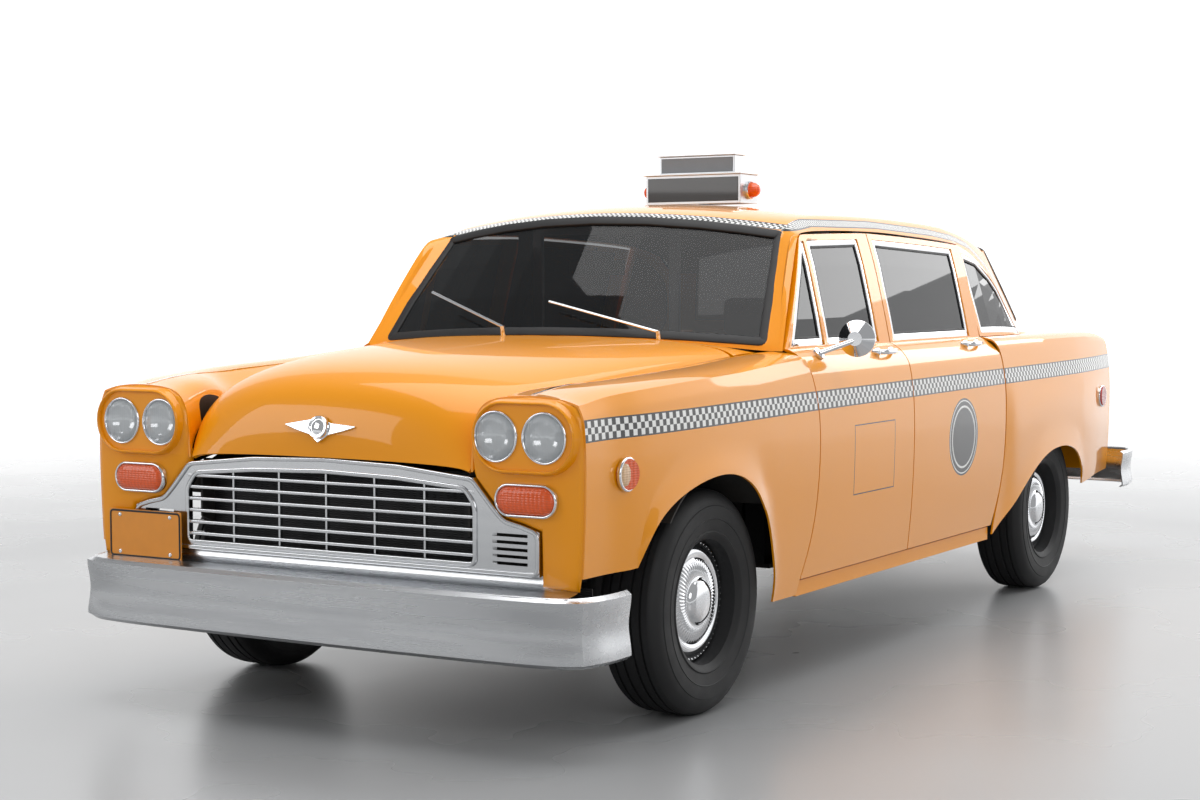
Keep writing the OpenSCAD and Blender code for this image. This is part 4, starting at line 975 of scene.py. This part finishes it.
LAMP_Z = 0.89
LAMP_Y = (0.628, 0.790)
POD_Y = 0.722
NOSE_EDGE = [
    (0.760, 0.468), (0.888, 0.468), (0.897, 0.520), (0.902, 0.600), (0.905, 0.700), (0.906, 0.804),
    (0.905, 0.870), (0.899, 0.940), (0.880, 0.976), (0.830, 0.996), (0.723, 1.002), (0.610, 0.993),
    (0.566, 0.968), (0.540, 0.922), (0.534, 0.850), (0.531, 0.785), (0.536, 0.768), (0.560, 0.740),
    (0.600, 0.696), (0.640, 0.655), (0.700, 0.642), (0.757, 0.625), (0.758, 0.560),
]
GRILLE_SIDE = NOSE_EDGE[15:] + NOSE_EDGE[:1]


def nose_ring(distance, out, by_grille):
    ring = inset_ring(NOSE_EDGE, distance)
    return [(by_grille if NOSE_EDGE[k] in GRILLE_SIDE else out, y, z) for k, (y, z) in enumerate(ring)]


nose = bmesh.new()
NOSE_STEPS = [(0.0, 2.4600, 2.440), (0.003, 2.4665, 2.452), (0.009, 2.4705, 2.460), (0.018, 2.4720, 2.4665)]
bands = loft(nose, [nose_ring(*step) for step in NOSE_STEPS])
well = [nose.verts.new((2.472, y, z)) for y, z in oval_loop(POD_Y, LAMP_Z, 0.330, 0.190)]
well_edges = [nose.edges.new((well[k - 1], well[k])) for k in range(len(well)) if well[k - 1] is not well[k]]
bmesh.ops.triangle_fill(nose, edges=bands[-1] + well_edges, normal=(1, 0, 0))
obj = finish_piece("nose_panels", mirrored_copy(nose), PAINT, "taxi_yellow", round_by=0.0, crease=60)

pods = bmesh.new()
POD_STEPS = [(0.352, 0.212, 2.4600), (0.350, 0.210, 2.4735), (0.345, 0.205, 2.4775), (0.343, 0.203, 2.488),
             (0.338, 0.198, 2.4945), (0.331, 0.191, 2.4965), (0.325, 0.185, 2.4945), (0.3225, 0.1825, 2.484)]
pod_rings = [[(x, y, z) for y, z in oval_loop(POD_Y, LAMP_Z, w, h)] for w, h, x in POD_STEPS]
bands = loft(pods, pod_rings)
holes = []
for y in LAMP_Y:
    ring = [pods.verts.new((2.484, y + 0.0735 * math.cos(a), LAMP_Z + 0.0735 * math.sin(a)))
            for a in (math.tau * k / 48 for k in range(48))]
    holes += [pods.edges.new((ring[k - 1], ring[k])) for k in range(48)]
bmesh.ops.triangle_fill(pods, edges=bands[-1] + holes, normal=(1, 0, 0))
obj = finish_piece("lamp_pods", mirrored_copy(pods), PAINT, "taxi_yellow", crease=60)
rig.replaces(obj, "headlamp_pods")

RING = [(0.0735, 2.478), (0.0740, 2.486), (0.0725, 2.4905), (0.0690, 2.4915), (0.0665, 2.489), (0.0655, 2.482)]
BOWL = [(0.0655, 2.482), (0.060, 2.470), (0.050, 2.455), (0.036, 2.443), (0.018, 2.436), (0.009, 2.434),
        (0.009, 2.446), (0.0, 2.447)]
PANE = [(0.0660, 2.484), (0.0620, 2.4885), (0.050, 2.4915), (0.030, 2.4935), (0.0, 2.4945)]


def at_lamps(profile):
    """The profile's turned shape at each of the four lamps, as one bmesh."""
    shapes = []
    for y in (*LAMP_Y, *(-y for y in LAMP_Y)):
        shapes.append(spun(profile, (0, y, LAMP_Z), (1, 0, 0), 56))
    return joined(shapes)


finish_piece("lamp_rings", at_lamps(RING), CHROME, "bright_metal", crease=70)
finish_piece("lamp_bowls", at_lamps(BOWL), REFLECTOR, "bright_metal", crease=70, outwards=False)
obj = finish_piece("lamp_lenses", at_lamps(PANE), LENS, "lamp_glass", crease=80)
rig.replaces(obj, "headlamps")

# Turn signals and round side markers: rims and moulded lenses
rims = bmesh.new()
RIM_STEPS = [(0.208, 0.096, 2.468), (0.208, 0.096, 2.4800), (0.204, 0.092, 2.4845), (0.198, 0.086, 2.4860),
             (0.192, 0.080, 2.4845), (0.190, 0.078, 2.4790)]
loft(rims, [[(x, y, z) for y, z in oval_loop(0.724, 0.714, w, h)] for w, h, x in RIM_STEPS])
finish_piece("signal_rims", mirrored_copy(rims), CHROME, "bright_metal", crease=70)
moulds = bmesh.new()
MOULD_STEPS = [(0.190, 0.078, 2.478), (0.188, 0.076, 2.4835), (0.178, 0.066, 2.4885), (0.150, 0.040, 2.4915)]
bands = loft(moulds, [[(x, y, z) for y, z in oval_loop(0.724, 0.714, w, h)] for w, h, x in MOULD_STEPS])
bmesh.ops.triangle_fill(moulds, edges=bands[-1], normal=(1, 0, 0))
finish_piece("signal_lenses", mirrored_copy(moulds), AMBER, "amber_lens", crease=80)
dress("signal_lamps", AMBER)


def marker(name, place, way, lens_finish, slot):
    """A round lamp: a bright ring and a domed lens."""
    ring = [(0.0475, -0.010), (0.0500, -0.001), (0.0485, 0.003), (0.0445, 0.004), (0.0415, 0.001), (0.0410, -0.004)]
    dome = [(0.0415, -0.002), (0.0400, 0.001), (0.030, 0.004), (0.014, 0.0058), (0.0, 0.006)]
    finish_piece(name + "_ring", spun(ring, place, way, 48), CHROME, "bright_metal", crease=70)
    finish_piece(name + "_lens", spun(dome, place, way, 48), lens_finish, slot, crease=80)


for side, flank in ((1, "left"), (-1, "right")):
    spot, normal = hit(surface("front_fenders"), (FRONT_AXLE.x + 0.528, side * 1.3, 0.780), (0, -side, 0))
    marker(f"front_marker_{flank}", spot + Vector((0, side * 0.008, 0)), (0, side, 0), AMBER_CLEAR, "amber_lens")
    spot, normal = hit(surface("rear_quarters"), (REAR_AXLE.x - 0.662, side * 1.3, 0.797), (0, -side, 0))
    marker(f"rear_marker_{flank}", spot + Vector((0, side * 0.008, 0)), (0, side, 0), RED, "red_lens")
    for z in (0.760, 0.880):
        marker(f"tail_lamp_{flank}_{round(z * 100)}", (-2.247, side * 0.775, z), (-1, 0, 0), RED, "red_lens")

# Grille: a polished frame with rolled edges, rounded bars and vents, with the radiator's core behind
obj = machined("grille", POLISHED, 0.003)
EDGE = rounded_section(0.014, 0.006, 0.45)
OUTER = [(0.0, 0.797), (0.270, 0.789), (0.532, 0.763), (0.557, 0.735), (0.597, 0.691), (0.638, 0.650),
         (0.699, 0.637), (0.752, 0.621), (0.752, 0.505)]
INNER = [(0.0, 0.763), (0.270, 0.756), (0.505, 0.738), (0.541, 0.690), (0.541, 0.522)]
for name, outline in (("outer", OUTER), ("inner", INNER)):
    path = rounded_loop([Vector((2.4615, y, z)) for y, z in both_ways(outline)], 0.020)
    count = len(path)
    bead = bmesh.new()
    sweep(bead, path, EDGE, lambda k: Vector((1, 0, 0)).cross(path[(k + 1) % count] - path[k - 1]), closed=True)
    finish_piece(f"grille_{name}_edge", bead, POLISHED, "satin_metal", crease=50)
bars = [box_mesh((2.440, -0.541, 0.5425 + 0.036 * k), (2.463, 0.541, 0.5535 + 0.036 * k)) for k in range(6)]
bars += [box_mesh((2.443, 0.180 * k - 0.004, 0.520), (2.4585, 0.180 * k + 0.004, 0.757)) for k in range(-2, 3)]
finish_piece("grille_bars", joined(bars), POLISHED, "satin_metal", round_by=0.0035)
core = joined([box_mesh((2.380, -0.545, 0.420), (2.384, 0.545, 0.775)),
               box_mesh((2.396, -0.89, 0.300), (2.400, 0.89, 0.470))])
finish_piece("radiator_core", core, CORE, "dark_metal", smooth=False)

# Satin metal shelf between the bumper and the body
bumper_tree = surface("front_bumper")
shelf = bmesh.new()
rows = []
for k in range(33):
    y = -0.885 + 1.77 * k / 32
    spot, normal = hit(bumper_tree, (3.2, y, 0.445), (-1, 0, 0))
    reach = spot.x - 0.012
    rows.append([(2.446, y, 0.503), (2.450, y, 0.482), (2.458, y, 0.470), (2.474, y, 0.464),
                 (2.474 * 0.4 + reach * 0.6, y, 0.460), (reach, y, 0.456)])
verts = [[shelf.verts.new(p) for p in row] for row in rows]
for a, b in zip(verts, verts[1:]):
    for k in range(5):
        shelf.faces.new((a[k], b[k], b[k + 1], a[k + 1]))
bmesh.ops.solidify(shelf, geom=shelf.faces, thickness=0.002)
finish_piece("bumper_shelf", shelf, SATIN, "satin_metal", crease=60)

# Winged badge with no lettering on the hood's nose
spot, normal = hit(surface("hood"), (3.2, 0, 0.893), (-1, 0, 0))
WING = [(0.0, 0.030), (0.040, 0.014), (0.128, 0.008), (0.130, 0.004), (0.085, -0.010), (0.035, -0.022), (0.0, -0.046)]
badge = bmesh.new()
lean = Vector((1, 0, 0)).rotation_difference(normal).to_matrix()
back = [badge.verts.new(spot + lean @ Vector((-0.004, y, z))) for y, z in both_ways(WING)[:-1]]
plate = badge.faces.new(back)
raised = bmesh.ops.extrude_face_region(badge, geom=[plate])["geom"]
bmesh.ops.translate(badge, vec=normal * 0.011, verts=[v for v in raised if isinstance(v, bmesh.types.BMVert)])
finish_piece("badge_wings", badge, CHROME, "bright_metal", "hood_panel", round_by=0.003)
DISC = [(0.0, 0.014), (0.018, 0.0135), (0.021, 0.0115), (0.024, 0.0115), (0.027, 0.015), (0.032, 0.0155),
        (0.0345, 0.012), (0.035, 0.0)]
finish_piece("badge_disc", spun(DISC, spot + normal * 0.003, normal, 48), CHROME, "bright_metal", "hood_panel")

# Bright strips along the fenders' crests
CREST = [(2.44, 0.722), (2.30, 0.724), (2.15, 0.733), (2.00, 0.743), (1.75, 0.746), (1.50, 0.750), (1.30, 0.770)]
for side in (1, -1):
    tree = surface("front_fenders")
    path = []
    for (x0, y0), (x1, y1) in zip(CREST, CREST[1:]):
        for u in (0.0, 0.25, 0.5, 0.75):
            spot, normal = hit(tree, (x0 + (x1 - x0) * u, side * (y0 + (y1 - y0) * u), 1.4), (0, 0, -1))
            if spot:
                path.append(spot)
    strip = bmesh.new()
    sweep(strip, path, rounded_section(0.011, 0.004), lambda k: Vector((0, 1, 0)))
    finish_piece(f"crest_strip_{'left' if side > 0 else 'right'}", strip, CHROME, "bright_metal", crease=60)


# --- Doors' handles -------------------------------------------------------------------------
def handle(name, door, body, x, z, side):
    """A pull handle on two feet, with a round push button in front of it."""
    spot, normal = hit(surface(door), (x, side * 1.3, z), (0, -side, 0))
    out = Vector((0, side, 0))
    path = []
    for u, lift in ((0, 0.002), (0.04, 0.016), (0.10, 0.026), (0.3, 0.031), (0.5, 0.032), (0.7, 0.031),
                    (0.90, 0.026), (0.96, 0.016), (1, 0.002)):
        path.append(spot + Vector((0.060 - 0.120 * u, 0, 0)) + out * lift)
    grip = bmesh.new()
    around = [(0.009 * math.cos(a), 0.006 * math.sin(a)) for a in (math.tau * k / 12 for k in range(12))]
    sweep(grip, path, around, lambda k: Vector((0, 0, 1)))
    feet = []
    for way in (1, -1):
        foot = [(0.0, 0.006), (0.012, 0.0055), (0.015, 0.003), (0.0155, -0.006)]
        feet.append(spun(foot, spot + Vector((way * 0.058, 0, 0)), out, 24))
    button = [(0.0, 0.024), (0.009, 0.0235), (0.011, 0.021), (0.0115, -0.004)]
    feet.append(spun(button, spot + Vector((0.090, 0, 0)), out, 28))
    finish_piece(name, joined([grip, *feet]), CHROME, "bright_metal", body, crease=50)


for side, flank in ((1, "left"), (-1, "right")):
    handle(f"front_handle_{flank}", f"front_door_{flank}", f"front_door_{flank[0]}", 0.440, 1.071, side)
    handle(f"rear_handle_{flank}", f"rear_door_{flank}", f"rear_door_{flank[0]}", -0.420, 1.076, side)

# --- Roof sign ------------------------------------------------------------------------------
sign_low, sign_high = (Vector(p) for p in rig.box("roof_sign"))
sx = (sign_low.x + sign_high.x) / 2
box_z = sign_high.z - 0.192
housing = joined([
    box_mesh((sx - 0.060, -0.020, sign_low.z), (sx + 0.060, 0.020, box_z + 0.004)),
    box_mesh((sx - 0.073, -0.2075, box_z), (sx + 0.073, 0.2075, box_z + 0.112)),
    box_mesh((sx - 0.084, -0.2155, box_z + 0.112), (sx + 0.084, 0.2155, box_z + 0.1165)),
    box_mesh((sx - 0.038, -0.165, box_z + 0.117), (sx + 0.038, 0.165, box_z + 0.187)),
    box_mesh((sx - 0.048, -0.172, box_z + 0.1875), (sx + 0.048, 0.172, box_z + 0.192)),
])
obj = finish_piece("sign_housing", housing, SIGN_METAL, "sign_metal", round_by=0.002)
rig.replaces(obj, "roof_sign")
faces = []
grey_faces = []
for way in (1, -1):
    def slab(y, low, high, back, front):
        a, b = sorted((sx + way * back, sx + way * front))
        return box_mesh((a, -y, low), (b, y, high))
    faces.append(slab(0.198, box_z + 0.010, box_z + 0.102, 0.070, 0.0755))
    grey_faces.append(slab(0.157, box_z + 0.124, box_z + 0.180, 0.035, 0.0405))
finish_piece("sign_dark_faces", joined(faces), SIGN_BLACK, "black_plastic", round_by=0.001)
finish_piece("sign_grey_faces", joined(grey_faces), SIGN_GREY, "black_plastic", round_by=0.001)
HIVE = [(0.033, -0.002), (0.033, 0.008), (0.028, 0.010), (0.028, 0.0125), (0.0295, 0.015), (0.0275, 0.0175),
        (0.0285, 0.020), (0.026, 0.0235), (0.027, 0.026), (0.0235, 0.0295), (0.0245, 0.032), (0.019, 0.037),
        (0.0195, 0.0395), (0.012, 0.044), (0.0, 0.047)]
for side, flank in ((1, "left"), (-1, "right")):
    place = (sx, side * 0.2085, box_z + 0.052)
    finish_piece("sign_lamp_" + flank, spun(HIVE, place, (0, side, 0), 48), AMBER, "amber_lens", crease=75)
    ring = [(0.0345, -0.001), (0.0365, 0.003), (0.0360, 0.008), (0.0330, 0.010), (0.0315, 0.006)]
    finish_piece("sign_lamp_ring_" + flank, spun(ring, place, (0, side, 0), 48), CHROME, "bright_metal")


# --- Seats ----------------------------------------------------------------------------------
def cushion(name, low, high, pleats, along, body=CAB):
    """A filled cushion: a fine closed shell blown up against its seams, with pleats sewn down."""
    bm = box_mesh(low, high)
    size = Vector(high) - Vector(low)
    for axis in range(3):
        cuts = max(4, int(size[axis] / (0.05 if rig.quick() else 0.022)))
        for k in range(1, cuts):
            point = Vector(low)
            point[axis] += size[axis] * k / cuts
            normal = Vector()
            normal[axis] = 1
            bmesh.ops.bisect_plane(bm, geom=bm.verts[:] + bm.edges[:] + bm.faces[:], plane_co=point, plane_no=normal)
    middle_point = (Vector(low) + Vector(high)) / 2
    for vert in bm.verts:
        rel = vert.co - middle_point
        u = Vector([rel[k] / (size[k] / 2) for k in range(3)])
        crown = 1.0
        for k in range(3):
            crown *= (1 - abs(u[k]) ** 8 * 0.5) if abs(u[k]) < 1 else 1.0
        shrink = 0.0
        edges_near = sorted((1 - abs(c) for c in u))
        if edges_near[1] < 0.35:
            shrink = 0.020 * (1 - edges_near[1] / 0.35) ** 2
        sewn = abs(math.sin(math.pi * pleats * (u[along] + 1) / 2)) ** 0.5
        depth = 0.008 * (1 - sewn) if edges_near[0] < 0.02 and edges_near[1] > 0.1 else 0.0
        vert.co -= rel.normalized() * (shrink + depth)
    obj = finish_piece(name, bm, VINYL, "seat_vinyl", body, levels=1, crease=170)
    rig.padded(obj, 0.6)
    return obj


for node in ("front_seat", "rear_seat"):
    low, high = (Vector(p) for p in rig.box(node))
    half = 0.696 if node == "front_seat" else 0.616
    rear_x = low.x
    squab_low = high.z - (0.610 if node == "front_seat" else 0.505)
    squab = cushion(node + "_squab", (rear_x + 0.118, -half, squab_low + 0.006),
                    (rear_x + 0.578, half, squab_low + 0.184), 9, 1)
    back = cushion(node + "_back", (rear_x + 0.026, -half, squab_low + 0.190), (rear_x + 0.120, half, high.z - 0.004), 9, 1)
    lean = Matrix.Rotation(math.radians(-7.5), 4, "Y")
    pivot = Vector((rear_x + 0.115, 0, squab_low + 0.190))
    back.data.transform(Matrix.Translation(pivot) @ lean @ Matrix.Translation(-pivot))
    base = joined([box_mesh((rear_x + 0.125, -half + 0.02, low.z + 0.001), (rear_x + 0.560, half - 0.02, squab_low + 0.020))])
    if node == "rear_seat":
        finish_piece(node + "_base", base, MOULDED, "seat_vinyl", round_by=0.01)
    else:
        base.free()
        legs = joined([box_mesh((0.525, 0.500, low.z), (0.895, 0.540, squab_low + 0.01)),
                       box_mesh((0.525, -0.540, low.z), (0.895, -0.500, squab_low + 0.01))])
        finish_piece(node + "_legs", legs, FRAME_BLACK, "dark_metal", round_by=0.004)
    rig.replaces(back, node)

# Tall rest behind the driver, and the interior mirror
rest_pad = cushion("driver_head_rest", (0.400, 0.255, 1.120), (0.455, 0.505, 1.262), 3, 1)
mirror = joined([box_mesh((0.905, -0.115, 1.345), (0.917, 0.115, 1.398)), box_mesh((0.914, -0.006, 1.385), (0.926, 0.006, 1.445))])
finish_piece("interior_mirror", mirror, MOULDED, "black_plastic", round_by=0.004)

# Licence plates: a raised rim, and bolts
for node, way in (("front_plate", 1), ("rear_plate", -1)):
    low, high = (Vector(p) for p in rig.box(node))
    face_x = high.x if way > 0 else low.x
    y0, y1 = (-0.850, -0.550) if way > 0 else (low.y, high.y)
    z0 = high.z - 0.152
    loop = [(y0 + 0.005, z0 + 0.005), (y1 - 0.005, z0 + 0.005), (y1 - 0.005, high.z - 0.005), (y0 + 0.005, high.z - 0.005)]
    path = rounded_loop([Vector((face_x - way * 0.0005, y, z)) for y, z in loop], 0.012)
    count = len(path)
    rim = bmesh.new()
    sweep(rim, path, rounded_section(0.006, 0.0022, 0.45), lambda k: Vector((way, 0, 0)).cross(path[(k + 1) % count] - path[k - 1]), closed=True)
    body = BODY_OF[node]
    finish_piece(node + "_rim", rim, MOULDED, "plate_paint", body)
    bolts = []
    for y in (y0 + 0.045, y1 - 0.045):
        for z in (z0 + 0.018, high.z - 0.018):
            bolts.append(spun([(0.0, 0.004), (0.0045, 0.0035), (0.0062, 0.002), (0.0066, 0.0)], (face_x, y, z), (way, 0, 0), 20))
    finish_piece(node + "_bolts", joined(bolts), CHROME, "plate_paint", body)

# --- The rest of the CAD nodes keep their shape ----------------------------------------------
for node in frame["nodes"]:
    kept = {"dark_metal": FRAME_BLACK, "cast_metal": CAST, "partition_metal": PARTITION, "black_plastic": MOULDED,
            "seat_vinyl": VINYL, "satin_metal": SATIN, "amber_lens": AMBER, "red_lens": RED, "lamp_glass": LENS,
            "plate_paint": PLATE, "sign_metal": SIGN_METAL, "bright_metal": CHROME}
    data = frame["nodes"][node].data
    replaced = ("cabin_posts", "front_bumper", "rear_bumper", "roof_sign", "grille", "headlamps", "signal_lamps")
    if SLOT_OF[node] in kept and node not in replaced and "tyre" not in node:
        if "wheel_left" not in node and "wheel_right" not in node:
            dress(node, kept[SLOT_OF[node]])

# --- Camera, light and floor ------------------------------------------------------------------
def light_panel(name, place, target, size, energy):
    data = bpy.data.lights.new(name, "AREA")
    data.shape = "RECTANGLE"
    data.size, data.size_y = size
    data.energy = energy
    obj = bpy.data.objects.new(name, data)
    bpy.context.scene.collection.objects.link(obj)
    obj.location = place
    obj.rotation_euler = (Vector(target) - Vector(place)).to_track_quat("-Z", "Y").to_euler()


light_panel("overhead", (0.5, 0.5, 6.0), (0, 0, 0), (7.5, 4.5), 300)
light_panel("front_left", (7.0, 7.0, 4.0), (0.8, 0, 0.7), (5.0, 3.0), 120)
light_panel("front_right", (7.5, -5.0, 3.5), (1.0, 0, 0.7), (4.0, 3.0), 110)
light_panel("rear_fill", (-7.0, 3.0, 4.0), (0, 0, 0.8), (4.0, 3.0), 110)

floor_finish = Finish("studio_floor", (0.40, 0.405, 0.41), 0.28)
floor_finish.varied(0.10, 0.9, 0.12)
far_x, far_y, far_z = floor_finish.split(floor_finish.place())
distance = (far_x * far_x + far_y * far_y).math("SQRT")
# Painted light on the floor: beyond 4 m from the middle it glows more and more, fully at about 12 m.
glow = ((distance - 4.0) * 0.12).math("MAXIMUM", 0.0).math("MINIMUM", 1.0)
floor_finish.feed("Emission Color", floor_finish.blend(glow, (0, 0, 0, 1), (0.6, 0.6, 0.6, 1)))
floor_finish.feed("Emission Strength", 1.0)
floor_mesh = bmesh.new()
bmesh.ops.create_grid(floor_mesh, x_segments=2, y_segments=2, size=60)
floor_data = bpy.data.meshes.new("floor")
floor_mesh.to_mesh(floor_data)
floor_mesh.free()
floor_data.materials.append(floor_finish.material)
floor = bpy.data.objects.new("floor", floor_data)
bpy.context.scene.collection.objects.link(floor)
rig.stage(floor)

world = bpy.data.worlds.new("pale_studio")
bpy.context.scene.world = world
world.use_nodes = True
world.node_tree.nodes["Background"].inputs["Color"].default_value = (0.95, 0.96, 0.97, 1)
world.node_tree.nodes["Background"].inputs["Strength"].default_value = 0.42

wall_finish = Finish("studio_wall", (0.9, 0.9, 0.9), 0.9)
wall_finish.varied(0.02, 0.2)
wall_finish.feed("Emission Color", (1.0, 1.0, 1.0, 1.0))
wall_finish.feed("Emission Strength", 0.75)
wall_data = bpy.data.meshes.new("wall")
wall_mesh = bmesh.new()
corners = [wall_mesh.verts.new(p) for p in ((-22, -60, -0.5), (-22, 40, -0.5), (-22, 40, 30), (-22, -60, 30))]
wall_mesh.faces.new(corners)
wall_mesh.to_mesh(wall_data)
wall_mesh.free()
wall_data.materials.append(wall_finish.material)
wall = bpy.data.objects.new("wall", wall_data)
bpy.context.scene.collection.objects.link(wall)
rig.stage(wall)

camera_data = bpy.data.cameras.new("camera")
camera_data.lens = 61.74
camera_data.sensor_width = 36.0
camera = bpy.data.objects.new("camera", camera_data)
bpy.context.scene.collection.objects.link(camera)
yaw, pitch, roll = (math.radians(a) for a in (211.33, -3.23, -0.18))
forward = Vector((math.cos(yaw) * math.cos(pitch), math.sin(yaw) * math.cos(pitch), math.sin(pitch)))
camera.rotation_mode = "QUATERNION"
camera.rotation_quaternion = forward.to_track_quat("-Z", "Y") @ Matrix.Rotation(roll, 3, "Z").to_quaternion()
camera.location = (7.222, 3.853, 1.314)
bpy.context.scene.camera = camera
bpy.context.scene.view_settings.view_transform = "Standard"

with open("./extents.json", "w") as handle:
    json.dump({"cad": [list(p) for p in cad_box], "visual": [list(p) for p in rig.bounds()]}, handle)
